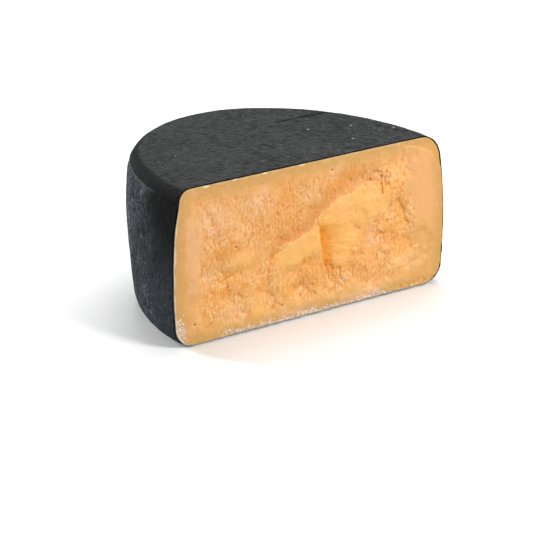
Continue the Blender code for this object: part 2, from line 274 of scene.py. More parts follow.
CRACKS = (((-0.0350, 0.0540), (-0.0180, 0.0615), (-0.0020, 0.0665)),
          ((0.0085, 0.0520), (0.0105, 0.0420), (0.0140, 0.0310), (0.0175, 0.0210)),
          ((0.0900, 0.0640), (0.0915, 0.0560)), ((-0.0185, 0.0265), (-0.0165, 0.0205)),
          ((-0.0875, 0.0425), (-0.0740, 0.0450)), ((0.0740, 0.0320), (0.0700, 0.0280)))
RIGHT_STEP = ((0.088, 0.046), (0.106, 0.048), (0.118, 0.040), (0.113, 0.024), (0.090, 0.018), (0.080, 0.030))
LOW_PLATE = ((0.077, 0.020), (0.083, 0.028), (0.092, 0.031), (0.104, 0.033), (0.103, 0.026), (0.092, 0.020))
CORNER_PLATE = ((0.089, 0.114), (0.104, 0.112), (0.117, 0.105), (0.124, 0.092), (0.126, 0.050),
                (0.100, 0.052), (0.096, 0.080), (0.088, 0.100))

# The broken face: round spots, each with its centre and its reach each way.
LEFT_HOLLOWS = (((-0.076, 0.044), (0.018, 0.007)), ((-0.082, 0.031), (0.010, 0.008)),
                ((-0.046, 0.028), (0.009, 0.008)), ((-0.014, 0.021), (0.007, 0.006)))
LEFT_BUMP = ((-0.063, 0.054), (0.008, 0.009))
SOFTER = (((-0.072, 0.042), (0.032, 0.024)), ((0.064, 0.046), (0.012, 0.018)))
QUIET = (((-0.064, 0.055), (0.010, 0.009)), ((-0.052, 0.012), (0.008, 0.006)),
         ((0.090, 0.025), (0.013, 0.005)), ((0.112, 0.080), (0.016, 0.030)))
CRUMBLY = (((0.068, 0.093), (0.020, 0.009)), ((0.095, 0.060), (0.006, 0.014)),
           ((0.026, 0.020), (0.009, 0.006)), ((-0.090, 0.046), (0.009, 0.005)),
           ((0.090, 0.103), (0.006, 0.009)))
COMBED = (((-0.054, 0.097), (0.014, 0.009)), ((-0.086, 0.092), (0.009, 0.012)),
          ((-0.030, 0.082), (0.014, 0.016)), ((0.058, 0.044), (0.014, 0.016)))
SMEARS = (((-0.110, 0.070), (0.007, 0.034)), ((0.057, 0.046), (0.006, 0.014)),
          ((-0.090, 0.092), (0.013, 0.014)), ((-0.052, 0.097), (0.012, 0.010)),
          ((-0.003, 0.092), (0.005, 0.007)), ((0.022, 0.107), (0.009, 0.006)),
          ((-0.076, 0.016), (0.012, 0.007)), ((0.088, 0.025), (0.014, 0.005)),
          ((0.045, 0.006), (0.020, 0.005)), ((-0.020, 0.005), (0.012, 0.004)))
# Spots of painted shade, in orange, in hollows, by slits and under edges.
PAINTED_SHADE_SPOTS = (((0.068, 0.090), (0.008, 0.009)), ((0.057, 0.091), (0.004, 0.005)),
          ((0.075, 0.083), (0.004, 0.003)), ((0.087, 0.062), (0.006, 0.012)),
          ((-0.083, 0.045), (0.014, 0.004)), ((-0.048, 0.031), (0.005, 0.008)),
          ((-0.092, 0.034), (0.003, 0.007)), ((-0.036, 0.050), (0.003, 0.004)),
          ((-0.019, 0.023), (0.005, 0.006)), ((0.092, 0.104), (0.002, 0.005)),
          ((-0.091, 0.087), (0.003, 0.003)), ((-0.083, 0.033), (0.004, 0.006)))
AMBER = (((0.030, 0.098), (0.020, 0.008)), ((0.056, 0.040), (0.016, 0.014)),
         ((-0.026, 0.084), (0.016, 0.024)), ((0.020, 0.094), (0.016, 0.007)),
         ((0.038, 0.042), (0.020, 0.016)), ((-0.078, 0.066), (0.018, 0.008)),
         ((-0.074, 0.036), (0.014, 0.006)), ((0.052, 0.096), (0.012, 0.006)),
         ((0.098, 0.044), (0.016, 0.012)), ((0.078, 0.046), (0.014, 0.012)),
         ((0.050, 0.036), (0.014, 0.012)), ((0.000, 0.030), (0.014, 0.016)))
YELLOW = (((-0.067, 0.056), (0.013, 0.009)), ((0.078, 0.093), (0.014, 0.009)),
          ((0.016, 0.068), (0.010, 0.008)), ((0.062, 0.090), (0.004, 0.006)),
          ((-0.030, 0.056), (0.006, 0.004)), ((0.020, 0.030), (0.006, 0.010)))
FLECKED = (((-0.090, 0.087), (0.014, 0.006)), ((-0.052, 0.094), (0.010, 0.009)),
           ((-0.076, 0.074), (0.010, 0.004)), ((0.060, 0.044), (0.006, 0.012)),
           ((-0.088, 0.099), (0.005, 0.008)), ((-0.044, 0.089), (0.004, 0.006)),
           ((-0.100, 0.049), (0.005, 0.004)), ((-0.064, 0.018), (0.014, 0.007)),
           ((-0.109, 0.016), (0.004, 0.003)), ((0.060, 0.009), (0.016, 0.005)),
           ((0.090, 0.017), (0.014, 0.003)), ((0.083, 0.100), (0.006, 0.006)),
           ((0.095, 0.060), (0.004, 0.006)), ((0.026, 0.020), (0.007, 0.004)))
TOP_CHIPS = (((-0.098, 0.1185), (0.0040, 0.0016)), ((-0.072, 0.1185), (0.0030, 0.0010)),
             ((-0.045, 0.1185), (0.0030, 0.0009)), ((-0.010, 0.1185), (0.0030, 0.0009)))
DRY_CORNER = ((-0.125, 0.011), (0.006, 0.012))
PITS = ((-0.072, 0.067), (-0.030, 0.013), (-0.111, 0.016), (0.018, 0.109), (0.060, 0.060))

# Masks that are full on the paste's hidden sides. The others are empty there.
FULL_WHEN_HIDDEN = ("rind", "edge", "border")

# The lip where the side meets the rounded top corner: its height and how far it stands out.
LIP_UP = 0.1100
LIP_OUT = 0.0004
GROOVE_DEPTH = 0.0004

# Crumbs on the broken face: how many to a square metre where they lie thickest, and half sizes.
CRUMB_DENSITY = 260000.0
CRUMB_SMALLEST = 0.00016
CRUMB_LARGEST = 0.00055
CRUMB_FLATTEST = (0.6, 0.4, 0.3)
CRUMB_ROUNDEST = (1.3, 1.0, 0.7)
CRUMB_PUSH = 0.0009
FULL_TURN = 6.283
CRUMB_SEEDS = {"scatter": 5, "spin": 11, "flat": 12, "size": 13}

# The coat's skin: how high its waves and wrinkles are and how large, and how far it may stand out.
COAT_WAVE = 0.00022
COAT_WAVE_SIZE = 0.030
COAT_WRINKLE = 0.00014
COAT_WRINKLE_SIZE = 0.007
COAT_OUT_MOST = 0.00035

# The coat's edge at the cut: how far it is broken back, and how much more near the bottom.
EDGE_BACK = 0.0004
EDGE_RAGGED = 0.0003
EDGE_RAGGED_LOW = 0.0008

# Marks in the coat, from the wheel's axis: places, with their reach each way, and dents with their depth.
TOP_PITS = ((0.0716, 0.0571), (0.0999, 0.0136), (0.0938, 0.0279), (0.0886, 0.0122), (0.0960, 0.0200))
TOP_PIT_REACH = (0.0013, 0.0020)
TOP_SPECKS = ((0.0400, 0.0484), (0.0748, 0.0389), (0.0570, 0.0147), (0.1010, 0.0190))
TOP_SPECK_REACH = (0.0007, 0.0011)
TOP_SCUFFS = (((-0.100, 0.040), (0.013, 0.010)), ((-0.060, 0.030), (0.010, 0.008)),
              ((0.090, 0.024), (0.016, 0.020)), ((0.020, 0.105), (0.060, 0.012)))
CREASE_FROM = 0.018
CREASE_TO = 0.094
CREASE_BACK = 0.0742
CREASE_WOBBLE = 0.0060
COAT_DENTS = (((-0.125, 0.030, 0.060), (0.010, 0.010, 0.014), 0.0005),
              ((-0.118, 0.045, 0.095), (0.012, 0.012, 0.006), 0.0005),
              ((-0.105, 0.040, 0.120), (0.012, 0.010, 0.004), 0.0004),
              ((0.060, 0.110, 0.118), (0.012, 0.006, 0.010), 0.0005),
              ((0.090, 0.090, 0.050), (0.014, 0.014, 0.012), 0.0005),
              ((0.010, 0.132, 0.070), (0.016, 0.010, 0.012), 0.0005))

# The camera, from the wheel's axis at the height of its bottom.
CAMERA_PLACE = Vector((-1.10694, -1.35399, 0.74837))
CAMERA_RIGHT = Vector((0.79123266, -0.60982364, 0.04545332))
CAMERA_UP = Vector((0.20108165, 0.3296532, 0.92243967))
FOCAL_PIXELS = 2500.0
PHOTO_PIXELS = 554.0
SENSOR = 36.0

# The studio: each light's name, place, target, size and power, then the world, and the floor's half width.
LIGHTS = (("top", (0.5, 0.5, 1.4), (0.0, 0.0, 0.0), (1.0, 1.0), 16.0),
          ("front right", (0.64, -1.42, 0.9), (0.0, 0.0, 0.06), (0.6, 0.6), 29.4),
          ("back left", (-0.90, 1.20, 0.5), (0.0, 0.0, 0.06), (0.4, 0.7), 31.0))
WORLD_STRENGTH = 0.26
FLOOR_REACH = 6.0
FLOOR_BELOW = 0.0005


# Shaping helpers

def ramp(start, end, value):
    """0 at start, 1 at end, with a smooth way between them."""
    t = np.clip((value - start) / (end - start), 0.0, 1.0)
    return t * t * (3.0 - 2.0 * t)


def distance_to(x, z, path):
    """Distance from each point to a line of straight runs."""
    nearest = np.full(x.shape, np.inf)
    for (x0, z0), (x1, z1) in zip(path[:-1], path[1:]):
        along_x = x1 - x0
        along_z = z1 - z0
        t = ((x - x0) * along_x + (z - z0) * along_z) / (along_x**2 + along_z**2)
        t = np.clip(t, 0.0, 1.0)
        nearest = np.minimum(nearest, np.hypot(x - x0 - t * along_x, z - z0 - t * along_z))
    return nearest


def patch(x, z, outline, edge):
    """1 inside an outline, 0 outside it, with a slope as wide as the edge between them."""
    loop = outline + outline[:1]
    inside = np.zeros(x.shape, dtype=bool)
    for (x0, z0), (x1, z1) in zip(loop[:-1], loop[1:]):
        crosses = (z0 > z) != (z1 > z)
        run = (x1 - x0) / (z1 - z0) if z1 != z0 else 0.0
        inside ^= crosses & (x < x0 + (z - z0) * run)
    distance = distance_to(x, z, loop)
    return ramp(-0.5 * edge, 0.5 * edge, np.where(inside, distance, -distance))


def mound(x, z, centre, reach):
    """1 at the centre, falling away like a bell with the given reach each way."""
    return np.exp(-((x - centre[0]) / reach[0]) ** 2 - ((z - centre[1]) / reach[1]) ** 2)


def cells(x, z, size, stretch):
    """The whole and the broken part of each point's place in a grid of cells."""
    u = x / size
    v = z / (size * stretch)
    whole_u = np.floor(u).astype(int)
    whole_v = np.floor(v).astype(int)
    return whole_u, whole_v, u - whole_u, v - whole_v


def waves(x, z, size, seed, stretch=1.0):
    """Smooth random waves between about -1 and 1."""
    turns = np.random.default_rng(seed).uniform(0.0, 2.0 * np.pi, (CELLS, CELLS))
    whole_u, whole_v, u, v = cells(x, z, size, stretch)

    def corner(du, dv):
        turn = turns[(whole_v + dv) % CELLS, (whole_u + du) % CELLS]
        return np.cos(turn) * (u - du) + np.sin(turn) * (v - dv)

    ease_u = u**3 * (u * (6.0 * u - 15.0) + 10.0)
    ease_v = v**3 * (v * (6.0 * v - 15.0) + 10.0)
    low = corner(0, 0) * (1.0 - ease_u) + corner(1, 0) * ease_u
    high = corner(0, 1) * (1.0 - ease_u) + corner(1, 1) * ease_u
    return WAVE_GAIN * (low * (1.0 - ease_v) + high * ease_v)


def rough(x, z, height, size, seed, layers, stretch=1.0):
    """Waves on waves, each half as large and half as high as the one before."""
    total = np.zeros(x.shape)
    for layer in range(layers):
        total += waves(x, z, size / 2**layer, seed + layer, stretch) / 2**layer
    return height * total


def ridges(x, z, size, seed, stretch=1.0):
    """Thin crests that wander and meet, from 0 between them to 1 on top."""
    crest = np.clip(1.0 - RIDGE_SHARPNESS * np.abs(waves(x, z, size, seed, stretch)), 0.0, 1.0)
    return crest**2


def flakes(x, z, size, seed, stretch=1.0):
    """Overlapping tilted flakes: their height, from about 0 to 1, and the shade of each flake."""
    random = np.random.default_rng(seed)
    place = random.uniform(0.0, 1.0, (CELLS, CELLS, 2))
    tilt = random.normal(0.0, FLAKE_TILT, (CELLS, CELLS, 2))
    lift = random.uniform(0.0, FLAKE_LIFT, (CELLS, CELLS))
    shades = random.uniform(0.0, 1.0, (CELLS, CELLS))
    whole_u, whole_v, u, v = cells(x, z, size, stretch)
    best = np.full(x.shape, -np.inf)
    shade = np.zeros(x.shape)
    for dv in (-1, 0, 1):
        for du in (-1, 0, 1):
            row = (whole_v + dv) % CELLS
            column = (whole_u + du) % CELLS
            off_u = u - du - place[row, column, 0]
            off_v = v - dv - place[row, column, 1]
            bend = tilt[row, column, 0] * off_u + tilt[row, column, 1] * off_v
            height = lift[row, column] + bend - FLAKE_CURVE * (off_u**2 + off_v**2)
            shade = np.where(height > best, shades[row, column], shade)
            best = np.maximum(best, height)
    return best, shade


# The wheel's form

def cut_plane(z):
    """How far along Y the knife's cut lies, from the wheel's axis, at a height."""
    return -CUT_IN_FRONT + CUT_LEAN * (z / HEIGHT * 2.0 - 1.0)


def rim_profile(share, inset, low_rows, side_rows, high_rows):
    """Radius and height of the rim, from the flat bottom's edge up to the flat top's edge.

    The share is how far round the rim from the cut's right end to its left end.
    """
    half = HEIGHT / 2
    low = BOTTOM_CORNER
    to_left = 0.5 - 0.5 * np.cos(np.pi * share)
    to_back = min(max(SHOULDER_SOONER * np.sin(np.pi * share), 0.0), 1.0)
    fall = SHOULDER_SOFT + (SHOULDER_SHARP - SHOULDER_SOFT) * to_back
    out = SHOULDER_OUT * to_left * (SHOULDER_AT_CUT + (1.0 - SHOULDER_AT_CUT) * to_back)
    top_corner = TOP_CORNER_RIGHT + (TOP_CORNER_LEFT - TOP_CORNER_RIGHT) * to_left
    high = HEIGHT - top_corner

    def side(z):
        shoulder = ramp(SHOULDER_START, SHOULDER_FULL, z) * ramp(SHOULDER_END, SHOULDER_END - fall, z)
        return RADIUS - SIDE_BULGE * ((z - half) / half) ** 2 + out * shoulder

    turn = np.radians(np.linspace(-90.0, 0.0, low_rows + 1))
    radii = [side(low) - low + (low - inset) * np.cos(turn)]
    heights = [low + (low - inset) * np.sin(turn)]
    z = np.linspace(low, high, side_rows + 1)[1:-1]
    radii.append(side(z) - inset)
    heights.append(z)
    turn = np.radians(np.linspace(0.0, 90.0, high_rows + 1))
    radii.append(side(high) - top_corner + (top_corner - inset) * np.cos(turn))
    heights.append(high + (top_corner - inset) * np.sin(turn))
    return np.concatenate(radii), np.concatenate(heights)


def slumped(radius, around, z):
    """The wheel's radius at an angle and a height, with its lean."""
    lean = SLUMP * np.cos(2.0 * (around - SLUMP_TOWARDS))
    return radius * (1.0 + lean / RADIUS * (z / HEIGHT * 2.0 - 1.0))


def cut_angles(radius, z, setback):
    """The angles at which the cut meets the rim, on the right and on the left."""
    across = (cut_plane(z) + setback) / DEPTH_STRETCH
    right = np.zeros(z.shape)
    left = np.full(z.shape, np.pi)
    for _ in range(6):
        right = np.arcsin(across / slumped(radius, right, z))
        left = np.pi - np.arcsin(across / slumped(radius, left, z))
    return right, left


def wrap(inset, setback, columns, low_rows, side_rows, high_rows, bottom_rows, top_rows):
    """The skin from the cut's bottom edge, round the rim, to the cut's top edge.

    Returns its points, the number of each point by row and column, and the loop of numbers
    along the cut: along the bottom from right to left, up, along the top and down again.
    """
    shares = np.linspace(0.0, 1.0, columns + 1)
    profiles = [rim_profile(share, inset, low_rows, side_rows, high_rows) for share in shares]
    radius = np.stack([profile[0] for profile in profiles], axis=1)
    z = np.stack([profile[1] for profile in profiles], axis=1)
    right, left = cut_angles(radius, z, setback)
    around = right + (left - right) * shares
    r = slumped(radius, around, z)
    rim = np.stack([r * np.cos(around), DEPTH_STRETCH * r * np.sin(around), z], axis=2)

    def flat(edge, rows):
        start = edge.copy()
        start[:, 1] = cut_plane(edge[:, 2]) + setback
        t = np.linspace(0.0, 1.0, rows + 1)[:-1, None, None]
        return start[None] + (edge - start)[None] * t

    bottom = flat(rim[0], bottom_rows)
    top = flat(rim[-1], top_rows)[::-1]
    points = np.concatenate([bottom, rim, top])
    rows = len(points)
    number = np.arange(rows * (columns + 1)).reshape(rows, columns + 1)
    first = bottom_rows
    last = bottom_rows + len(rim) - 1
    for column in (0, columns):
        number[:first, column] = number[first, column]
        number[last + 1:, column] = number[last, column]
    loop = np.concatenate([number[0, :], number[first + 1:last, columns],
                           number[-1, ::-1], number[first + 1:last, 0][::-1]])
    return points, number, loop


def grid_faces(number, turned=False):
    """Four-sided faces between neighbouring rows and columns; repeated corners are dropped."""
    corners = np.stack([number[:-1, :-1], number[:-1, 1:], number[1:, 1:], number[1:, :-1]], axis=2)
    faces = []
    for face in corners.reshape(-1, 4).tolist():
        kept = [v for k, v in enumerate(face) if v != face[k - 1]]
        if len(kept) > 2:
            faces.append(kept[::-1] if turned else kept)
    return faces


def stitch(fine, coarse, every, turned=False):
    """Triangles between a loop of many points and a loop with one point for every few of them."""
    faces = []
    count = len(fine)
    for k in range(count):
        here = coarse[(k // every) % len(coarse)]
        triangle = [fine[k], fine[(k + 1) % count], here]
        faces.append(triangle[::-1] if turned else triangle)
        if (k + 1) % every == 0:
            following = coarse[(k // every + 1) % len(coarse)]
            triangle = [fine[(k + 1) % count], following, here]
            faces.append(triangle[::-1] if turned else triangle)
    return faces


# The broken face

def broken_inside(x, z):
    """1 where the face broke, 0 in the knife's border around it."""
    sides = ramp(*BREAK_LEFT, x) * ramp(*BREAK_RIGHT, x)
    ends = ramp(*BREAK_TOP, z) * ramp(*BREAK_BOTTOM, z)
    return sides * ends


def highest(x, z, places):
    """1 at the centre of any of the places, 0 away from all of them."""
    return np.maximum.reduce([mound(x, z, centre, reach) for centre, reach in places])


def follow(value, path):
    """The second of a path's two measures where the first has the given value."""
    return np.interp(value, [point[0] for point in path], [point[1] for point in path])


def furrows(x, z, paths):
    """1 in the middle of any of the thin furrows, 0 away from them."""
    return np.maximum.reduce([np.exp(-(distance_to(x, z, path) / CRACK_HALF_WIDTH) ** 2) for path in paths])


class Face:
    """The broken face over a grid of points: its height, above 0 out of the cut, and its masks."""

    def __init__(self, x, z):
        self.x = x
        self.z = z
        self.wander_x = x + rough(x, z, *WANDER_X)
        self.wander_z = z + rough(x, z, *WANDER_Z)
        self.calm_x = x + CALMED * (self.wander_x - x)
        self.calm_z = z + CALMED * (self.wander_z - z)
        self.inside = broken_inside(x + rough(x, z, *BREAK_WANDER_X), z + rough(x, z, *BREAK_WANDER_Z))
        self.height = self.inside * (rough(x, z, *FACE_SWELL) - BREAK_DEPTH)
        self.masks = {}
        self.add_steps()
        self.add_smooth_forms()
        self.add_rift()
        self.add_corner()
        self.add_torn_paste()
        self.add_rays()
        self.add_furrows()
        self.add_crumbly_paste()
        self.add_border()

    def add_steps(self):
        """The scraped ledge, the shelf, the hollows, the bump and the steps."""
        x = self.x
        z = self.z
        self.above = self.wander_z - follow(self.wander_x, LEDGE)
        self.over = ramp(*LEDGE_STEP, self.above)
        self.scraped = self.over * ramp(*SCRAPED_UP, self.above)
        self.scraped *= ramp(*SCRAPED_LEFT, x) * ramp(*SCRAPED_RIGHT, x)
        self.height -= SCRAPE_DEPTH * self.scraped * self.inside
        shelf = ramp(*SHELF_LEFT, x) * ramp(*SHELF_RIGHT, x) * ramp(*SHELF_TOP, z) * ramp(*SHELF_BOTTOM, z)
        self.height -= SHELF_DEPTH * shelf
        for centre, reach in LEFT_HOLLOWS:
            self.height -= HOLLOW_DEPTH * mound(self.wander_x, self.wander_z, centre, reach)
        self.height += BUMP_HEIGHT * mound(self.wander_x, self.wander_z, *LEFT_BUMP)
        self.height -= STEP_DEPTH * patch(self.wander_x, self.wander_z, RIGHT_STEP, STEP_EDGE)
        self.low_plate = patch(self.wander_x, self.wander_z, LOW_PLATE, LOW_PLATE_EDGE)
        self.height += LOW_PLATE_LIFT * self.low_plate

    def add_smooth_forms(self):
        """The hill and the tongue, where the paste came away in smooth sheets."""
        x = self.x
        z = self.z
        hill = patch(self.wander_x, self.wander_z, HILL, HILL_EDGE)
        crisp = patch(self.wander_x, self.wander_z, HILL, HILL_LEFT_EDGE)
        hill = np.maximum(hill, crisp * ramp(*HILL_CRISP_ACROSS, x) * ramp(*HILL_CRISP_UP, z))
        crisp = patch(self.wander_x, self.wander_z, HILL, HILL_LEDGE_EDGE)
        hill = np.maximum(hill, crisp * ramp(*HILL_BY_LEDGE, -self.above))
        tongue = patch(self.calm_x, self.calm_z, TONGUE, TONGUE_EDGE)
        soft = patch(self.calm_x, self.calm_z, TONGUE, TONGUE_LOW_EDGE)
        tongue += (soft - tongue) * ramp(*TONGUE_LOW, self.above)
        top_away = distance_to(x, z, HILL_CREST[:3])
        self.smooth = np.maximum(tongue, hill * ramp(*HILL_SMOOTH, top_away + rough(x, z, *SMOOTH_WANDER)))
        hill_height = HILL_TOP - HILL_FALL * ramp(*HILL_FALLS, distance_to(x, z, HILL_CREST))
        hill_height += rough(x, z, *HILL_SWELL)
        self.height += (hill_height - self.height) * hill
        tongue_height = TONGUE_TOP - TONGUE_FALL * ramp(*TONGUE_FALLS, x)
        tongue_height += TONGUE_WAVE * waves(x, z, *TONGUE_WAVES)
        self.height += (tongue_height - self.height) * tongue
        self.hill = hill
        self.tongue = tongue

    def add_rift(self):
        """The rift beside the tongue: steep on its left, with a long flank on its right."""
        x = self.x
        z = self.z
        self.rift_right = x - follow(z, [(up, across) for across, up in RIFT]) - rough(x, z, *RIFT_WANDER)
        flank = np.exp(-np.maximum(self.rift_right, 0.0) / RIFT_FLANK) * ramp(*FLANK_ENDS, self.rift_right)
        wall = ramp(-RIFT_WALL, 0.0, self.rift_right)
        self.height -= RIFT_DEPTH * follow(z, RIFT_DEEPENS) * np.where(self.rift_right > 0.0, flank, wall)
        # Painted glow: the flank's saturated orange, as if light shone through the paste, is painted into
        # the colour.
        glow = np.exp(-(np.maximum(self.rift_right, 0.0) / GLOW_REACH) ** 2) * wall
        self.masks["flank"] = glow * follow(z, FLANK_GLOWS)

    def add_corner(self):
        """The flat plate in the top right corner, and the sunken rim beside it."""
        self.corner = patch(self.wander_x, self.wander_z, CORNER_PLATE, CORNER_EDGE)
        self.corner *= ramp(*CORNER_UP, self.z)
        rim = ramp(*RIM_ACROSS, self.x) * ramp(*RIM_UP, self.z)
        self.height -= RIM_DEPTH * rim * (1.0 - self.corner)

    def add_torn_paste(self):
        """Torn strips in the upper part, lumps and chunks in the lower, grains in both."""
        x = self.x
        z = self.z
        wander_z = self.wander_z
        quiet = np.maximum(highest(self.wander_x, wander_z, QUIET), self.low_plate)
        rest = self.inside * (1.0 - SMOOTHED * self.smooth) * (1.0 - self.corner) * (1.0 - QUIETED * quiet)
        upper = self.over * ramp(*UPPER_ACROSS, x) * ramp(*UPPER_UP, z)
        lower = 1.0 - upper
        strong = ramp(*STRONG_PARTS, rough(x + 0.1 * z, wander_z, *STRONG_TEXTURE))
        calm = 1.0 - strong
        share = CALM_TEXTURE + (1.0 - CALM_TEXTURE) * strong
        self.height += rest * calm * CALM_HEIGHT
        lean_x = x + 0.08 * z + rough(x, z, *LEAN_WANDER)
        torn = ridges(lean_x, wander_z, *TORN) + 0.6 * ridges(lean_x, z, *TORN_FINE)
        self.height += rest * upper * share * TORN_HEIGHT * (torn - 0.3)
        strip, strip_shade = flakes(lean_x, wander_z, *STRIPS)
        sliver, sliver_shade = flakes(lean_x, z, *SLIVERS)
        self.height += rest * upper * share * STRIP_HEIGHT * (strip - 0.45 + 0.5 * (sliver - 0.45))
        combed = rest * highest(x, z, COMBED)
        self.height += combed * COMBED_HEIGHT * (ridges(lean_x, z, *COMB) - 0.4)

        lump, lump_shade = flakes(self.wander_x, wander_z, *LUMPS)
        chunk, chunk_shade = flakes(self.wander_x, wander_z, *CHUNKS)
        grain, grain_shade = flakes(lean_x, z, *GRAINS)
        less = 1.0 - SOFTENED * highest(x, z, SOFTER)
        lumpy = LUMP_HEIGHT * (lump - 0.45) + CHUNK_HEIGHT * strong * (chunk - 0.45)
        self.height += rest * lower * less * lumpy
        self.height += rest * share * GRAIN_HEIGHT * (grain - 0.45)
        self.height += rest * lower * LOWER_TORN_HEIGHT * (ridges(x - 0.15 * z, wander_z, *LOWER_TORN) - 0.3)
        self.height += self.inside * calm * rough(x, z, *CALM_SWELL)

        patchy = upper * (0.55 * strip_shade + 0.45 * sliver_shade)
        patchy += lower * (0.30 * lump_shade + 0.35 * chunk_shade + 0.35 * grain_shade)
        # Painted shade: the scraped paste just above the ledge is painted a darker orange.
        shade = self.scraped * ramp(*SHADED_UP, self.above) * (1.0 - self.smooth) * self.inside
        self.masks.update({"patchy": patchy, "upper": upper * self.inside, "rough": rest,
                           "strong": rest * strong, "smooth": self.smooth, "plate": self.corner,
                           "shade": shade})

    def add_rays(self):
        """Fine lines that fan out: over the rift's flank, and over the hill from its left corner."""
        right = self.rift_right
        level, middle, turn, reach = HACKLE_FAN
        hackle = ramp(*HACKLE_ENDS, right) * ramp(*HACKLE_STARTS, right) * ramp(*HACKLE_BOTTOM, self.z)
        hackle *= ramp(*HACKLE_TOP, self.z) * (0.35 + 0.65 * ramp(*HACKLE_WEAKENS, self.z))
        fan = self.z - level + turn * (self.z - middle) * right / reach
        self.height += hackle * HACKLE_HEIGHT * waves(right, fan, *HACKLE)
        self.height += hackle * FINE_HACKLE_HEIGHT * waves(right, fan, *FINE_HACKLE)
        around = np.arctan2(self.z - RAYS_FROM[1], self.x - RAYS_FROM[0])
        out = np.hypot(self.z - RAYS_FROM[1], self.x - RAYS_FROM[0])
        rays = ramp(*RAYS_START, out) * ramp(*RAYS_END, out)
        self.height += self.hill * rays * RAY_HEIGHT * waves(out, around * RAYS_ROUND, *RAYS)

    def add_furrows(self):
        """The sunken place on the right, the slits and the cracks."""
        sink_away = distance_to(self.wander_x, self.wander_z, SINK)
        self.height -= SINK_DEPTH * np.exp(-(sink_away / SINK_REACH) ** 2)
        jag_x = self.calm_x + 0.0007 * waves(self.x, self.z, *SLIT_WAVES)
        slits = furrows(jag_x, self.calm_z, SLITS)
        self.height -= SLIT_DEPTH * slits
        cracks = furrows(self.calm_x, self.calm_z, CRACKS)
        cracks *= ramp(-0.45, 0.25, rough(self.x, self.z, *CRACK_GAPS))
        self.height -= CRACK_DEPTH * cracks
        # Painted shade: the cracks and slits are painted dark brown, as the shade in them.
        self.masks["cracks"] = np.maximum(0.50 * cracks, 0.55 * slits)

    def add_crumbly_paste(self):
        """Crumbly places, away from the tongue."""
        crumbly = highest(self.x, self.z, CRUMBLY) * (1.0 - self.tongue)
        coarse = flakes(self.wander_x, self.wander_z, *COARSE_CRUMBS)[0]
        fine = flakes(self.x, self.z, *FINE_CRUMBS)[0]
        self.height += crumbly * CRUMBLY_HEIGHT * (coarse - 0.5 + 0.5 * (fine - 0.5))
        self.masks["crumbly"] = crumbly

    def add_border(self):
        """The knife's border, the dry crust along the bottom and the small pits."""
        x = self.x
        z = self.z
        border = 1.0 - self.inside
        self.height += border * KNIFE_MARK_HEIGHT * waves(x + z, z - x, *KNIFE_MARKS)
        self.height += border * (rough(x, z, *BORDER_SWELL) - BORDER_DEPTH)
        crust = ramp(*CRUST_UP, z + rough(x, z, *CRUST_WANDER)) * ramp(*CRUST_LEFT, x)
        self.height += crust * CRUST_HEIGHT * (flakes(x, z, *CRUST_FLAKES)[0] - 0.8)
        for place in PITS:
            hole = mound(x, z, place, PIT_REACH)
            self.height -= PIT_DEPTH * hole
            # Painted shade: the pits are painted dark brown as well.
            self.masks["cracks"] = np.maximum(self.masks["cracks"], 0.8 * hole)
        self.masks["border"] = border
        self.masks["crust"] = crust


def blurred(grid, reach):
    """The grid with each value averaged over a square of neighbours."""
    kernel = np.ones(2 * reach + 1) / (2 * reach + 1)
    for axis in (0, 1):
        padded = np.pad(grid, [(reach, reach) if k == axis else (0, 0) for k in (0, 1)], mode="edge")
        grid = np.apply_along_axis(np.convolve, axis, padded, kernel, mode="valid")
    return grid


def spots(x, z, places, start, end, wander):
    """1 in any of the places, 0 away from them, with uneven edges."""
    return ramp(start, end, highest(x, z, places) + rough(x, z, *wander))


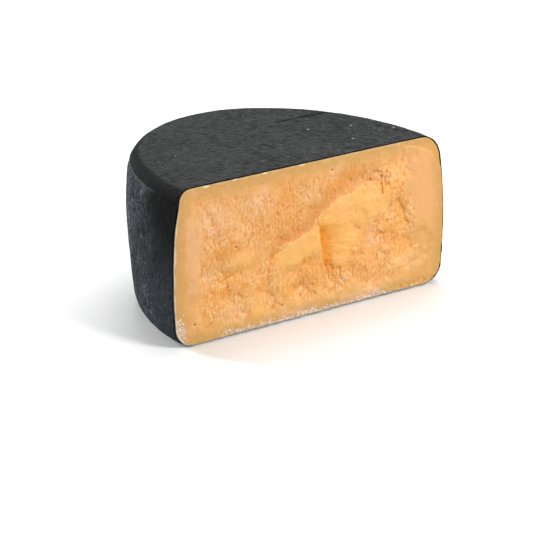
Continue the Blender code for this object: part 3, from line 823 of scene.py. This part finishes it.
def face_layers(x, z, relief, masks, from_edge):
    """The face's masks for colour."""
    smooth = masks["smooth"]
    # Painted shade: hollows in the relief are painted deeper orange, standing in for the shade in them and
    # light glowing through the paste.
    painted_hollow_shade = np.clip((blurred(relief, 5) - relief - 0.0001) / 0.0011, 0.0, 1.0)
    painted_hollow_shade = np.maximum(painted_hollow_shade, ramp(0.0040, 0.0085, -relief))
    # Painted shade: the finest hollows are painted a darker orange.
    fine = np.clip((blurred(relief, 1) - relief) / 0.00016, 0.0, 1.0)
    # Painted highlight: crests above their surroundings are painted pale.
    painted_crest_highlight = np.clip((relief - blurred(relief, 2)) / 0.00026, 0.0, 1.0)
    painted_crest_highlight = painted_crest_highlight * (1.0 - smooth) * (1.0 - masks["plate"]) * (1.0 - masks["flank"])
    painted_crest_highlight *= ramp(0.0015, 0.0060, distance_to(x, z, RIFT))
    smear = sum(mound(x, z, centre, reach) for centre, reach in SMEARS)
    smear = ramp(0.15, 0.75, smear + rough(x, z, *SMEAR_WANDER))
    # Painted shade and glow: orange spots in hollows and under edges, and the glow on the rift's flank.
    painted_shade_glow = np.maximum(0.6 * spots(x, z, PAINTED_SHADE_SPOTS, 0.25, 0.85, PAINTED_SHADE_WANDER), masks["flank"])
    amber = spots(x, z, AMBER, 0.20, 0.80, AMBER_WANDER) * (1.0 - smooth)
    yellow = spots(x, z, YELLOW, 0.25, 0.75, YELLOW_WANDER)
    dry = np.maximum(masks["crust"] * ramp(*CRUST_RIGHT, x), 1.2 * mound(x, z, *DRY_CORNER))
    dry = ramp(0.20, 0.60, dry + rough(x, z, *DRY_WANDER) - 0.10)
    tint = ramp(-0.35, 0.35, rough(x, z, *TINT_TEXTURE))
    edge = ramp(0.0018, 0.0004, from_edge + rough(x, z, *EDGE_WANDER))
    edge *= 0.25 + 0.75 * ramp(-0.110, -0.118, x) * ramp(0.108, 0.085, z)
    edge *= ramp(0.0, 0.006, z) * ramp(0.128, 0.118, x)
    edge = np.maximum(0.75 * edge, spots(x, z, TOP_CHIPS, 0.30, 0.60, CHIP_WANDER))
    rind = ramp(0.0130, 0.0005, from_edge + rough(x, z, *RIND_WANDER))
    flecked = np.maximum(highest(x, z, FLECKED) * (0.3 + 0.7 * masks["strong"]), 0.7 * masks["crumbly"])
    flecked = np.maximum(flecked, 0.9 * ramp(0.5, 0.9, dry) * ramp(0.0012, 0.0022, z))
    flecked = flecked * ramp(-0.3, 0.3, rough(x, z, *FLECKED_TEXTURE)) + 0.04 * masks["strong"]
    flecked *= ramp(0.0030, 0.0042, z)
    kept = ("patchy", "cracks", "plate", "shade", "border", "smooth", "upper", "rough", "strong")
    layers = {name: masks[name] for name in kept}
    layers.update({"amber": amber, "yellow": yellow, "rind": rind, "painted_hollow_shade": painted_hollow_shade, "fine": fine,
                   "painted_crest_highlight": painted_crest_highlight, "smear": smear, "painted_shade_glow": painted_shade_glow, "dry": dry, "edge": edge,
                   "tint": tint, "flecked": flecked,
                   "freckled": masks["rough"] * (0.2 + 0.8 * masks["strong"])})
    return layers


# Objects

def new_mesh_object(name, points, faces, material):
    mesh = bpy.data.meshes.new(name)
    mesh.from_pydata(points.tolist(), [], faces)
    build = bmesh.new()
    build.from_mesh(mesh)
    loose = [v for v in build.verts if not v.link_faces]
    bmesh.ops.delete(build, geom=loose, context="VERTS")
    build.to_mesh(mesh)
    build.free()
    mesh.materials.append(material)
    mesh.shade_smooth()
    thing = bpy.data.objects.new(name, mesh)
    bpy.context.scene.collection.objects.link(thing)
    return thing


def add_layer(thing, name, values):
    """One value for each of the piece's points, as an attribute that its material reads."""
    attribute = thing.data.attributes.new(name, "FLOAT", "POINT")
    attribute.data.foreach_set("value", values.astype(np.float32))


def make_paste(material):
    """The paste: its broken face in fine relief, and plain hidden sides under the coat."""
    ends = []
    for share, side in ((0.0, 0), (1.0, 1)):
        radius, z = rim_profile(share, PASTE_INSET, FACE_LOW_ROWS, FACE_SIDE_ROWS, FACE_HIGH_ROWS)
        around = cut_angles(radius, z, 0.0)[side]
        ends.append((slumped(radius, around, z) * np.cos(around), z))
    (x_right, z_right), (x_left, z_left) = ends
    share = np.linspace(0.0, 1.0, FACE_COLUMNS + 1)
    x = x_right[:, None] + (x_left - x_right)[:, None] * share[None, :]
    z = z_right[:, None] + (z_left - z_right)[:, None] * share[None, :]
    face = Face(x, z)
    y = cut_plane(z) - face.height
    front = np.stack([x + AXIS_X, y + AXIS_Y, z], axis=2).reshape(-1, 3)
    number = np.arange(front.shape[0]).reshape(x.shape)
    loop = np.concatenate([number[0, :], number[1:-1, -1], number[-1, ::-1], number[1:-1, 0][::-1]])

    points, back_number, back_loop = wrap(
        PASTE_INSET, HIDDEN_SETBACK, FACE_COLUMNS // COARSE, FACE_LOW_ROWS // COARSE,
        FACE_SIDE_ROWS // COARSE, FACE_HIGH_ROWS // COARSE, HIDDEN_FLAT_ROWS, HIDDEN_FLAT_ROWS)
    points = points.reshape(-1, 3) + np.array([AXIS_X, AXIS_Y, 0.0])
    start = len(front)
    faces = grid_faces(number, turned=True)
    faces += grid_faces(back_number + start)
    faces += stitch(loop.tolist(), (back_loop + start).tolist(), COARSE)
    paste = new_mesh_object("paste", np.concatenate([front, points]), faces, material)

    from_edge = np.minimum(share, 1.0 - share) * (x_right - x_left)[:, None]
    from_edge = np.minimum(from_edge, np.minimum(z, HEIGHT - z) - PASTE_INSET)
    for name, values in face_layers(x, z, face.height, face.masks, from_edge).items():
        full = np.full(len(paste.data.vertices), 1.0 if name in FULL_WHEN_HIDDEN else 0.0)
        full[:values.size] = values.reshape(-1)
        add_layer(paste, name, full)
    return paste


def swell(points):
    """How far the coat's skin stands out at each point: it waves, wrinkles and is dented."""
    amounts = []
    for point in points:
        place = Vector(point)
        wave = noise.fractal(place / COAT_WAVE_SIZE, 1.0, 2.0, 2)
        wrinkle = noise.fractal(place / COAT_WRINKLE_SIZE, 0.9, 2.0, 3)
        amounts.append(COAT_WAVE * wave + COAT_WRINKLE * wrinkle)
    amounts = np.array(amounts)
    for centre, reach, depth in COAT_DENTS:
        away = np.linalg.norm((points - np.array(centre)) / np.array(reach), axis=1)
        amounts -= depth * np.exp(-away**2)
    x, y, z = points.T
    lip = ramp(LIP_UP + 0.0005, LIP_UP - 0.0003, z) * ramp(LIP_UP - 0.012, LIP_UP, z)
    groove = ramp(LIP_UP - 0.0002, LIP_UP + 0.0010, z) * ramp(0.1196, 0.1170, z)
    left = ramp(0.020, -0.050, x) * ramp(0.008, 0.045, y - cut_plane(z))
    return np.minimum(amounts, COAT_OUT_MOST) + left * (LIP_OUT * lip - GROOVE_DEPTH * groove)


def chipped(points, inward):
    """The coat's edge at the cut, broken back a little and unevenly, most near the bottom."""
    x = points[:, 0]
    z = points[:, 2]
    ragged = EDGE_RAGGED + EDGE_RAGGED_LOW * ramp(0.050, 0.020, z)
    points[:, 1] += EDGE_BACK + ragged * np.clip(rough(x, z, *COAT_EDGE_TEXTURE), -0.3, 1.0) + inward
    return points


def make_coat(material):
    """The thin coat: a closed shell round the rim and the flat faces, open at the cut."""
    outer, outer_number, outer_loop = wrap(COAT_INSET, 0.0, COAT_COLUMNS, **COAT_ROWS)
    under = wrap(COAT_INSET + COAT_THICKNESS, 0.0, COAT_COLUMNS, **COAT_ROWS)[0]
    coarse_rows = {name: count // COARSE for name, count in COAT_ROWS.items()}
    inner, inner_number, inner_loop = wrap(
        COAT_INSET + COAT_THICKNESS, 0.0, COAT_COLUMNS // COARSE, **coarse_rows)

    outer = outer.reshape(-1, 3)
    outward = outer - under.reshape(-1, 3)
    outward /= np.linalg.norm(outward, axis=1)[:, None] + 1e-9
    outer = outer + outward * swell(outer)[:, None]
    inner = inner.reshape(-1, 3)
    outer[outer_loop] = chipped(outer[outer_loop], 0.0)
    inner[inner_loop] = chipped(inner[inner_loop], 0.0001)
    start = len(outer)
    faces = grid_faces(outer_number)
    faces += grid_faces(inner_number + start, turned=True)
    faces += stitch(outer_loop.tolist(), (inner_loop + start).tolist(), COARSE, turned=True)
    points = np.concatenate([outer, inner]) + np.array([AXIS_X, AXIS_Y, 0.0])
    coat = new_mesh_object("coat", points, faces, material)
    place = np.empty(3 * len(coat.data.vertices))
    coat.data.vertices.foreach_get("co", place)
    place = place.reshape(-1, 3)
    for name, values in coat_layers(*place.T).items():
        add_layer(coat, name, values)
    return coat


def coat_layers(x, y, z):
    """The coat's masks for colour, at points in the model's frame."""
    top_x = x - AXIS_X
    top_y = y - AXIS_Y
    from_cut = top_y - cut_plane(z)
    ragged = rough(x + y, z, *COAT_WANDER)
    on_top = ramp(0.1185, 0.1192, z)
    # Painted highlight: a light line along the lip on the left, where it catches the light.
    lip = ramp(0.0010, 0.0002, np.abs(z - LIP_UP + 0.0003)) * ramp(-0.040, -0.080, x)
    # Painted shade: a dark band on the left of the rounded top corner, above the lip.
    painted_corner_shade = ramp(LIP_UP, LIP_UP + 0.0012, z) * ramp(0.1196, 0.1176, z) * ramp(0.040, -0.060, x)
    return {"beside": ramp(0.043, 0.020, from_cut + ragged),
            # Painted shade: the upper side next to the cut is painted near black, where it turns from the
            # lights.
            "black": ramp(0.054, 0.014, from_cut + ragged) * ramp(0.036, 0.096, z),
            "scored": ramp(-0.020, -0.105, x + 0.6 * ragged) * ramp(0.018, 0.034, from_cut + ragged),
            "chalky": ramp(0.0060, 0.0015, z) * ramp(0.005, 0.001, from_cut),
            "lip": lip * ramp(0.024, 0.044, from_cut),
            "painted_corner_shade": painted_corner_shade,
            "pit": on_top * highest(top_x, top_y, [(centre, TOP_PIT_REACH) for centre in TOP_PITS]),
            "speck": on_top * highest(top_x, top_y, [(centre, TOP_SPECK_REACH) for centre in TOP_SPECKS]),
            "scuffed": on_top * highest(top_x, top_y, TOP_SCUFFS)}


# Crumbs

def crumb_tree():
    """Crumbs strewn over a face by its flecked attribute, each a small uneven lump."""
    tree = bpy.data.node_groups.new("crumbs", "GeometryNodeTree")
    for name, kind in (("Geometry", "Geometry"), ("Density", "Float"), ("Smallest", "Float"),
                       ("Largest", "Float"), ("Material", "Material")):
        tree.interface.new_socket(name, in_out="INPUT", socket_type="NodeSocket" + kind)
    tree.interface.new_socket("Geometry", in_out="OUTPUT", socket_type="NodeSocketGeometry")
    nodes = Nodes(tree)
    given = nodes.add("NodeGroupInput")
    result = nodes.add("NodeGroupOutput")

    flecked = nodes.add("GeometryNodeInputNamedAttribute", data_type="FLOAT")
    flecked.inputs["Name"].default_value = "flecked"
    scatter = nodes.add("GeometryNodeDistributePointsOnFaces", distribute_method="RANDOM")
    scatter.inputs["Seed"].default_value = CRUMB_SEEDS["scatter"]
    nodes.link(given.outputs["Geometry"], scatter.inputs["Mesh"])
    dense = nodes.math("MULTIPLY", given.outputs["Density"], flecked.outputs["Attribute"])
    nodes.link(dense, scatter.inputs["Density"])

    lump = nodes.add("GeometryNodeMeshIcoSphere")
    lump.inputs["Radius"].default_value = 1.0
    lump.inputs["Subdivisions"].default_value = 1
    place = nodes.add("GeometryNodeInstanceOnPoints")
    nodes.link(scatter.outputs["Points"], place.inputs["Points"])
    nodes.link(lump.outputs["Mesh"], place.inputs["Instance"])
    spin = nodes.add("FunctionNodeRandomValue", data_type="FLOAT_VECTOR")
    spin.inputs["Max"].default_value = (FULL_TURN, FULL_TURN, FULL_TURN)
    spin.inputs["Seed"].default_value = CRUMB_SEEDS["spin"]
    nodes.link(spin.outputs["Value"], place.inputs["Rotation"])
    flat = nodes.add("FunctionNodeRandomValue", data_type="FLOAT_VECTOR")
    flat.inputs["Min"].default_value = CRUMB_FLATTEST
    flat.inputs["Max"].default_value = CRUMB_ROUNDEST
    flat.inputs["Seed"].default_value = CRUMB_SEEDS["flat"]
    size = nodes.add("FunctionNodeRandomValue", data_type="FLOAT")
    size.inputs["Seed"].default_value = CRUMB_SEEDS["size"]
    nodes.link(given.outputs["Smallest"], size.inputs[2])
    nodes.link(given.outputs["Largest"], size.inputs[3])
    scale = nodes.add("ShaderNodeVectorMath", operation="SCALE")
    nodes.link(flat.outputs["Value"], scale.inputs["Vector"])
    nodes.link(size.outputs[1], scale.inputs["Scale"])
    nodes.link(scale.outputs["Vector"], place.inputs["Scale"])
    real = nodes.add("GeometryNodeRealizeInstances")
    nodes.link(place.outputs["Instances"], real.inputs["Geometry"])

    where = nodes.add("GeometryNodeInputPosition")
    shift = nodes.add("GeometryNodeSetPosition")
    nodes.link(real.outputs["Geometry"], shift.inputs["Geometry"])
    nodes.link(nodes.sway(where.outputs["Position"], 2200.0, CRUMB_PUSH), shift.inputs["Offset"])
    paint = nodes.add("GeometryNodeSetMaterial")
    nodes.link(shift.outputs["Geometry"], paint.inputs["Geometry"])
    nodes.link(given.outputs["Material"], paint.inputs["Material"])
    nodes.link(paint.outputs["Geometry"], result.inputs["Geometry"])
    return tree


def make_crumbs(paste, material):
    """Loose crumbs on the broken face, as one plain mesh."""
    modifier = paste.modifiers.new("crumbs", "NODES")
    tree = crumb_tree()
    modifier.node_group = tree
    given = {"Density": CRUMB_DENSITY, "Smallest": CRUMB_SMALLEST, "Largest": CRUMB_LARGEST,
             "Material": material}
    for socket in tree.interface.items_tree:
        if socket.in_out == "INPUT" and socket.name in given:
            modifier[socket.identifier] = given[socket.name]
    evaluated = paste.evaluated_get(bpy.context.evaluated_depsgraph_get())
    mesh = bpy.data.meshes.new_from_object(evaluated)
    paste.modifiers.remove(modifier)
    mesh.shade_smooth()
    for vertex in mesh.vertices:
        vertex.co.y = max(vertex.co.y, cad_box[0][1] + 0.0001)
    if "flecked" in mesh.attributes:
        mesh.attributes.remove(mesh.attributes["flecked"])
    thing = bpy.data.objects.new("crumbs", mesh)
    bpy.context.scene.collection.objects.link(thing)
    return thing


# Materials

class Nodes:
    """Short calls for building a node tree."""

    def __init__(self, tree):
        self.tree = tree

    def add(self, kind, **settings):
        node = self.tree.nodes.new(kind)
        for name, value in settings.items():
            setattr(node, name, value)
        return node

    def link(self, source, target):
        self.tree.links.new(source, target)

    def attribute(self, name):
        return self.add("ShaderNodeAttribute", attribute_name=name).outputs["Fac"]

    def noise(self, vector, scale, detail=4.0, roughness=0.55, distortion=0.0):
        node = self.add("ShaderNodeTexNoise")
        node.inputs["Scale"].default_value = scale
        node.inputs["Detail"].default_value = detail
        node.inputs["Roughness"].default_value = roughness
        node.inputs["Distortion"].default_value = distortion
        self.link(vector, node.inputs["Vector"])
        return node.outputs["Fac"]

    def sway(self, vector, scale, reach):
        """A small random shift that varies smoothly from place to place."""
        node = self.add("ShaderNodeTexNoise")
        node.inputs["Scale"].default_value = scale
        self.link(vector, node.inputs["Vector"])
        centred = self.add("ShaderNodeVectorMath", operation="SUBTRACT")
        self.link(node.outputs["Color"], centred.inputs[0])
        centred.inputs[1].default_value = (0.5, 0.5, 0.5)
        scaled = self.add("ShaderNodeVectorMath", operation="SCALE")
        scaled.inputs["Scale"].default_value = reach
        self.link(centred.outputs["Vector"], scaled.inputs["Vector"])
        return scaled.outputs["Vector"]

    def mapping(self, turn=(0.0, 0.0, 0.0), scale=(1.0, 1.0, 1.0)):
        place = self.add("ShaderNodeTexCoord")
        node = self.add("ShaderNodeMapping", vector_type="TEXTURE")
        node.inputs["Rotation"].default_value = turn
        node.inputs["Scale"].default_value = scale
        self.link(place.outputs["Object"], node.inputs["Vector"])
        return node.outputs["Vector"]

    def spread(self, value, low, high, to_low=0.0, to_high=1.0):
        """The value's way from low to high, smoothly, as a number from to_low to to_high."""
        node = self.add("ShaderNodeMapRange", interpolation_type="SMOOTHSTEP")
        ends = (("From Min", low), ("From Max", high), ("To Min", to_low), ("To Max", to_high))
        for name, end in ends:
            node.inputs[name].default_value = end
        self.link(value, node.inputs["Value"])
        return node.outputs["Result"]

    def math(self, operation, first, second):
        node = self.add("ShaderNodeMath", operation=operation)
        for socket, value in zip(node.inputs, (first, second)):
            if isinstance(value, float):
                socket.default_value = value
            else:
                self.link(value, socket)
        return node.outputs["Value"]

    def times(self, first, second):
        return self.math("MULTIPLY", first, second)

    def mix(self, share, first, second):
        """The second over the first by a share. Colours may be sockets, or as the eye names them."""
        node = self.add("ShaderNodeMix", data_type="RGBA")
        for socket, value in zip((node.inputs[0], node.inputs[6], node.inputs[7]), (share, first, second)):
            if isinstance(value, tuple):
                socket.default_value = (*linear(value), 1.0)
            else:
                self.link(value, socket)
        return node.outputs[2]

    def two_tone(self, value, low, high, first, second):
        """The first colour where the value is low, the second where it is high."""
        return self.mix(self.spread(value, low, high), first, second)

    def tinted(self, under, value, *tints):
        """Colours laid over what is under them, each where the value goes from one end to the other.

        A tint is both ends, the most of the colour that is laid on, and the colour.
        """
        for start, end, most, over in tints:
            under = self.mix(self.spread(value, start, end, 0.0, most), under, over)
        return under

    def layered(self, under, *layers):
        """Colours laid over what is under them by an attribute: its name, the most of it and the colour."""
        for name, most, over in layers:
            under = self.mix(self.times(self.attribute(name), most), under, over)
        return under

    def bump(self, height, distance, strength, normal=None):
        node = self.add("ShaderNodeBump")
        node.inputs["Strength"].default_value = strength
        node.inputs["Distance"].default_value = distance
        self.link(height, node.inputs["Height"])
        if normal is not None:
            self.link(normal, node.inputs["Normal"])
        return node.outputs["Normal"]


def linear(colour):
    """A colour as the eye names it, 0 to 255 in red, green and blue, made linear."""
    channels = [channel / 255.0 for channel in colour]
    return tuple(c / 12.92 if c <= 0.04045 else ((c + 0.055) / 1.055) ** 2.4 for c in channels)


def new_material(name, roughness):
    material = bpy.data.materials.new(name)
    material.use_nodes = True
    shader = material.node_tree.nodes["Principled BSDF"]
    shader.inputs["Roughness"].default_value = roughness
    return material, shader, Nodes(material.node_tree)


def set_subsurface(shader, weight, radius, scale):
    shader.inputs["Subsurface Weight"].default_value = weight
    shader.inputs["Subsurface Radius"].default_value = radius
    shader.inputs["Subsurface Scale"].default_value = scale


def paste_material():
    material, shader, nodes = new_material("paste", 0.55)
    lean = (0.0, math.radians(12.0), 0.0)
    place = nodes.mapping()
    mottle = nodes.noise(place, 90.0, 5.0, 0.6)
    speck = nodes.noise(place, 650.0, 3.0, 0.7)
    grain = nodes.noise(place, 1500.0, 3.0, 0.6)
    freckle = nodes.noise(nodes.mapping(turn=lean, scale=(1.0, 1.0, 1.7)), 620.0, 4.0, 0.7)
    bent = nodes.add("ShaderNodeVectorMath", operation="ADD")
    nodes.link(nodes.mapping(turn=lean, scale=(1.0, 1.0, 3.0)), bent.inputs[0])
    nodes.link(nodes.sway(place, 60.0, 0.012), bent.inputs[1])
    stroke = nodes.noise(bent.outputs["Vector"], 800.0, 4.0, 0.6)

    low = nodes.two_tone(mottle, 0.35, 0.65, (251, 191, 98), (240, 169, 72))
    high = nodes.two_tone(mottle, 0.35, 0.65, (239, 177, 102), (227, 160, 80))
    base = nodes.mix(nodes.attribute("upper"), low, high)
    flake = nodes.two_tone(nodes.attribute("patchy"), 0.25, 0.75, (234, 150, 58), (252, 201, 128))
    crumb = nodes.two_tone(stroke, 0.44, 0.56, (216, 136, 58), (253, 205, 138))
    tan = nodes.two_tone(mottle, 0.3, 0.7, (231, 174, 104), (222, 163, 95))
    chalk = nodes.two_tone(speck, 0.42, 0.56, (196, 164, 134), (242, 214, 192))

    base = nodes.layered(base, ("tint", 0.30, (246, 184, 128)), ("rough", 0.35, flake),
                         ("strong", 0.45, flake), ("rough", 0.30, crumb))
    freckled = nodes.attribute("freckled")
    pale = nodes.times(freckled, nodes.spread(freckle, 0.55, 0.64, 0.0, 0.80))
    base = nodes.mix(pale, base, (255, 212, 148))
    dark = nodes.times(freckled, nodes.spread(freckle, 0.47, 0.40, 0.0, 0.85))
    base = nodes.mix(dark, base, (218, 130, 46))
    # Painted shade and light: the ledge shade, the hollow and fine-hollow oranges and the orange spots are
    # painted shade, the rift flank's orange is a painted glow, and the pale on crests is a painted
    # highlight.
    base = nodes.layered(base, ("amber", 0.50, (232, 150, 54)), ("yellow", 0.60, (253, 191, 106)),
                         ("smooth", 0.8, (248, 188, 106)), ("shade", 0.80, (220, 144, 64)),
                         ("border", 0.9, tan), ("plate", 0.75, (238, 177, 113)),
                         ("rind", 0.8, (204, 158, 84)), ("smear", 0.5, (240, 188, 138)),
                         ("painted_hollow_shade", 0.85, (240, 146, 36)), ("painted_shade_glow", 0.95, (248, 160, 28)),
                         ("fine", 0.45, (232, 138, 40)), ("painted_crest_highlight", 0.5, (255, 212, 148)))
    white = nodes.times(nodes.attribute("flecked"), nodes.spread(speck, 0.46, 0.56))
    base = nodes.mix(white, base, (254, 214, 178))
    # The dark brown in cracks, slits and pits is painted shade.
    base = nodes.layered(base, ("dry", 0.85, chalk), ("edge", 0.95, (244, 222, 182)),
                         ("cracks", 0.85, (170, 92, 30)))
    nodes.link(base, shader.inputs["Base Color"])
    nodes.link(nodes.spread(mottle, 0.2, 0.8, 0.45, 0.65), shader.inputs["Roughness"])
    shape = nodes.bump(speck, 0.0005, 0.5)
    shape = nodes.bump(grain, 0.0002, 0.4, shape)
    marks = nodes.times(stroke, nodes.attribute("rough"))
    nodes.link(nodes.bump(marks, 0.0010, 0.6, shape), shader.inputs["Normal"])
    set_subsurface(shader, 0.40, (0.9, 0.6, 0.25), 0.0012)
    return material


def coat_material():
    material, shader, nodes = new_material("coat", 0.5)
    place = nodes.mapping()
    brushed = nodes.mapping(turn=(0.0, 0.0, math.radians(-37.6)), scale=(1.6, 0.20, 1.0))
    patches = nodes.noise(place, 80.0, 6.0, 0.75, 0.3)
    mottle = nodes.noise(place, 340.0, 6.0, 0.8, 0.3)
    spot = nodes.noise(place, 520.0, 4.0, 0.7)
    cloud = nodes.noise(place, 26.0, 4.0, 0.5)
    area = nodes.noise(place, 19.0, 5.0, 0.6)
    streak = nodes.noise(brushed, 95.0, 4.0, 0.65)
    fine = nodes.noise(brushed, 250.0, 4.0, 0.75)
    crack = crack_mask(nodes, place)
    crease = crease_mask(nodes, place)
    pit = nodes.math("MAXIMUM", dots(nodes, place, 85.0, 0.075, 0.85), nodes.attribute("pit"))

    side = nodes.two_tone(patches, 0.43, 0.57, (32, 36, 41), (78, 87, 96))
    side = nodes.tinted(side, mottle, (0.51, 0.59, 0.70, (114, 124, 134)))
    side = nodes.tinted(side, spot, (0.54, 0.62, 0.70, (166, 174, 181)))
    side = nodes.tinted(side, mottle, (0.49, 0.42, 0.90, (10, 12, 14)))
    calm = nodes.two_tone(patches, 0.42, 0.60, (36, 41, 46), (62, 69, 76))
    calm = nodes.tinted(calm, mottle, (0.52, 0.60, 0.40, (92, 100, 108)), (0.46, 0.38, 0.55, (18, 20, 23)))
    mottled = nodes.times(nodes.attribute("scored"), nodes.spread(area, 0.58, 0.46, 0.35, 1.0))
    side = nodes.mix(mottled, calm, side)
    side = nodes.mix(nodes.times(crack, 0.85), side, (6, 7, 8))
    slate = nodes.two_tone(mottle, 0.40, 0.60, (44, 51, 56), (68, 77, 82))
    slate = nodes.tinted(slate, spot, (0.60, 0.70, 0.5, (120, 128, 134)))
    slate = nodes.mix(nodes.times(crack, nodes.spread(area, 0.48, 0.56)), slate, (10, 12, 13))
    side = nodes.mix(nodes.attribute("beside"), side, slate)
    # Painted shade beside the cut.
    side = nodes.mix(nodes.attribute("black"), side, (3, 3, 3))

    top = nodes.two_tone(cloud, 0.40, 0.60, (47, 50, 49), (60, 63, 62))
    top = nodes.tinted(top, streak, (0.50, 0.60, 0.50, (84, 88, 86)), (0.48, 0.40, 0.65, (26, 28, 27)))
    top = nodes.tinted(top, spot, (0.56, 0.66, 0.50, (96, 100, 98)))
    top = nodes.tinted(top, fine, (0.51, 0.57, 0.75, (98, 102, 100)), (0.48, 0.42, 0.80, (16, 18, 17)))
    scuff = nodes.two_tone(spot, 0.45, 0.58, (22, 24, 24), (96, 100, 98))
    top = nodes.layered(top, ("scuffed", 0.6, scuff))

    normal = nodes.add("ShaderNodeSeparateXYZ")
    nodes.link(nodes.add("ShaderNodeNewGeometry").outputs["Normal"], normal.inputs["Vector"])
    base = nodes.mix(nodes.spread(normal.outputs["Z"], 0.45, 0.9), side, top)
    base = nodes.mix(dots(nodes, place, 62.0, 0.030, 0.80), base, (215, 215, 210))
    base = nodes.mix(nodes.attribute("speck"), base, (205, 205, 202))
    base = nodes.mix(nodes.times(crease, nodes.spread(mottle, 0.38, 0.50, 0.45, 0.95)), base, (8, 9, 9))
    base = nodes.mix(pit, base, (6, 6, 6))
    # Painted shade on the rounded top corner.
    base = nodes.layered(base, ("painted_corner_shade", 0.85, (12, 13, 14)))
    # Painted highlight along the lip.
    lip = nodes.times(nodes.attribute("lip"), nodes.spread(mottle, 0.44, 0.54, 0.2, 0.9))
    base = nodes.mix(lip, base, (104, 110, 116))
    chalk = nodes.times(nodes.attribute("chalky"), nodes.spread(mottle, 0.30, 0.40))
    base = nodes.mix(chalk, base, (200, 190, 174))
    nodes.link(base, shader.inputs["Base Color"])
    nodes.link(nodes.spread(mottle, 0.3, 0.7, 0.45, 0.65), shader.inputs["Roughness"])
    shape = None
    for height, distance, strength in ((patches, 0.0040, 0.8), (mottle, 0.0030, 1.0), (pit, -0.0008, 0.8),
                                       (crack, -0.0010, 0.8), (crease, -0.0010, 1.0), (streak, 0.0010, 0.7)):
        shape = nodes.bump(height, distance, strength, shape)
    nodes.link(shape, shader.inputs["Normal"])
    shader.inputs["Specular IOR Level"].default_value = 0.09
    return material


def dots(nodes, place, scale, size, rare):
    """Round dots in some cells of a loose grid: 1 in a dot, 0 elsewhere."""
    grid = nodes.add("ShaderNodeTexVoronoi")
    grid.inputs["Scale"].default_value = scale
    nodes.link(place, grid.inputs["Vector"])
    draw = nodes.add("ShaderNodeSeparateColor")
    nodes.link(grid.outputs["Color"], draw.inputs["Color"])
    kept = nodes.spread(draw.outputs["Red"], rare, rare + 0.01)
    return nodes.times(kept, nodes.spread(grid.outputs["Distance"], 1.4 * size, size))


def crack_mask(nodes, place):
    """1 along thin broken scratches, 0 elsewhere."""
    lines = nodes.noise(nodes.mapping(scale=(1.0, 1.0, 2.2)), 150.0, 3.0, 0.6)
    lines = nodes.math("ABSOLUTE", nodes.math("SUBTRACT", lines, 0.5), 0.0)
    gaps = nodes.spread(nodes.noise(place, 130.0, 2.0), 0.51, 0.56)
    return nodes.times(nodes.spread(lines, 0.034, 0.014), gaps)


def crease_mask(nodes, place):
    """1 in the crease across the top, 0 elsewhere."""
    where = nodes.add("ShaderNodeSeparateXYZ")
    nodes.link(place, where.inputs["Vector"])
    wobble = nodes.times(nodes.noise(place, 45.0, 3.0), CREASE_WOBBLE)
    middle = CREASE_BACK + AXIS_Y + 0.5 * CREASE_WOBBLE
    back = nodes.math("SUBTRACT", nodes.math("ADD", where.outputs["Y"], wobble), middle)
    narrow = nodes.spread(nodes.math("ABSOLUTE", back, 0.0), 0.0017, 0.0007)
    start = nodes.spread(where.outputs["X"], CREASE_FROM, CREASE_FROM + 0.020)
    end = nodes.spread(where.outputs["X"], CREASE_TO, CREASE_TO - 0.004)
    high = nodes.spread(where.outputs["Z"], 0.112, 0.116)
    return nodes.times(nodes.times(narrow, high), nodes.times(start, end))


def crumb_material():
    material, shader, nodes = new_material("crumbs", 0.6)
    place = nodes.mapping()
    mottle = nodes.noise(place, 400.0, 3.0, 0.6)
    base = nodes.two_tone(mottle, 0.40, 0.60, (250, 188, 96), (253, 207, 142))
    nodes.link(base, shader.inputs["Base Color"])
    nodes.link(nodes.bump(nodes.noise(place, 2500.0), 0.0001, 0.5), shader.inputs["Normal"])
    set_subsurface(shader, 0.2, (1.0, 0.45, 0.15), 0.0010)
    return material


def floor_material():
    material, shader = new_material("floor", 0.5)[:2]
    shader.inputs["Base Color"].default_value = (0.92, 0.92, 0.92, 1.0)
    return material


# Studio

def area_light(name, place, target, size, power):
    light = bpy.data.lights.new(name, "AREA")
    light.shape = "RECTANGLE"
    light.size = size[0]
    light.size_y = size[1]
    light.energy = power
    thing = bpy.data.objects.new(name, light)
    thing.location = place
    thing.rotation_euler = (Vector(target) - Vector(place)).to_track_quat("-Z", "Y").to_euler()
    bpy.context.scene.collection.objects.link(thing)


def make_studio():
    world = bpy.data.worlds.new("studio")
    world.use_nodes = True
    background = world.node_tree.nodes["Background"]
    background.inputs["Color"].default_value = (1.0, 1.0, 1.0, 1.0)
    background.inputs["Strength"].default_value = WORLD_STRENGTH
    bpy.context.scene.world = world
    for light in LIGHTS:
        area_light(*light)

    build = bmesh.new()
    bmesh.ops.create_grid(build, x_segments=1, y_segments=1, size=FLOOR_REACH)
    mesh = bpy.data.meshes.new("floor")
    build.to_mesh(mesh)
    build.free()
    mesh.materials.append(floor_material())
    floor = bpy.data.objects.new("floor", mesh)
    floor.location.z = -FLOOR_BELOW
    floor.visible_diffuse = False
    floor.visible_glossy = False
    bpy.context.scene.collection.objects.link(floor)


def make_camera():
    camera = bpy.data.cameras.new("camera")
    camera.sensor_width = SENSOR
    camera.lens = FOCAL_PIXELS / PHOTO_PIXELS * SENSOR
    camera.clip_end = 20.0
    thing = bpy.data.objects.new("camera", camera)
    back = CAMERA_RIGHT.cross(CAMERA_UP)
    turn = Matrix((CAMERA_RIGHT, CAMERA_UP, back)).transposed()
    thing.matrix_world = Matrix.Translation(CAMERA_PLACE + Vector((AXIS_X, AXIS_Y, 0.0))) @ turn.to_4x4()
    bpy.context.scene.collection.objects.link(thing)
    bpy.context.scene.camera = thing


def main():
    bpy.context.scene.view_settings.view_transform = "Standard"
    paste = make_paste(paste_material())
    coat = make_coat(coat_material())
    crumbs = make_crumbs(paste, crumb_material())
    make_studio()
    make_camera()
    for piece in (paste, coat, crumbs):
        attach(piece, "root")
        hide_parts("cheese_half")


main()
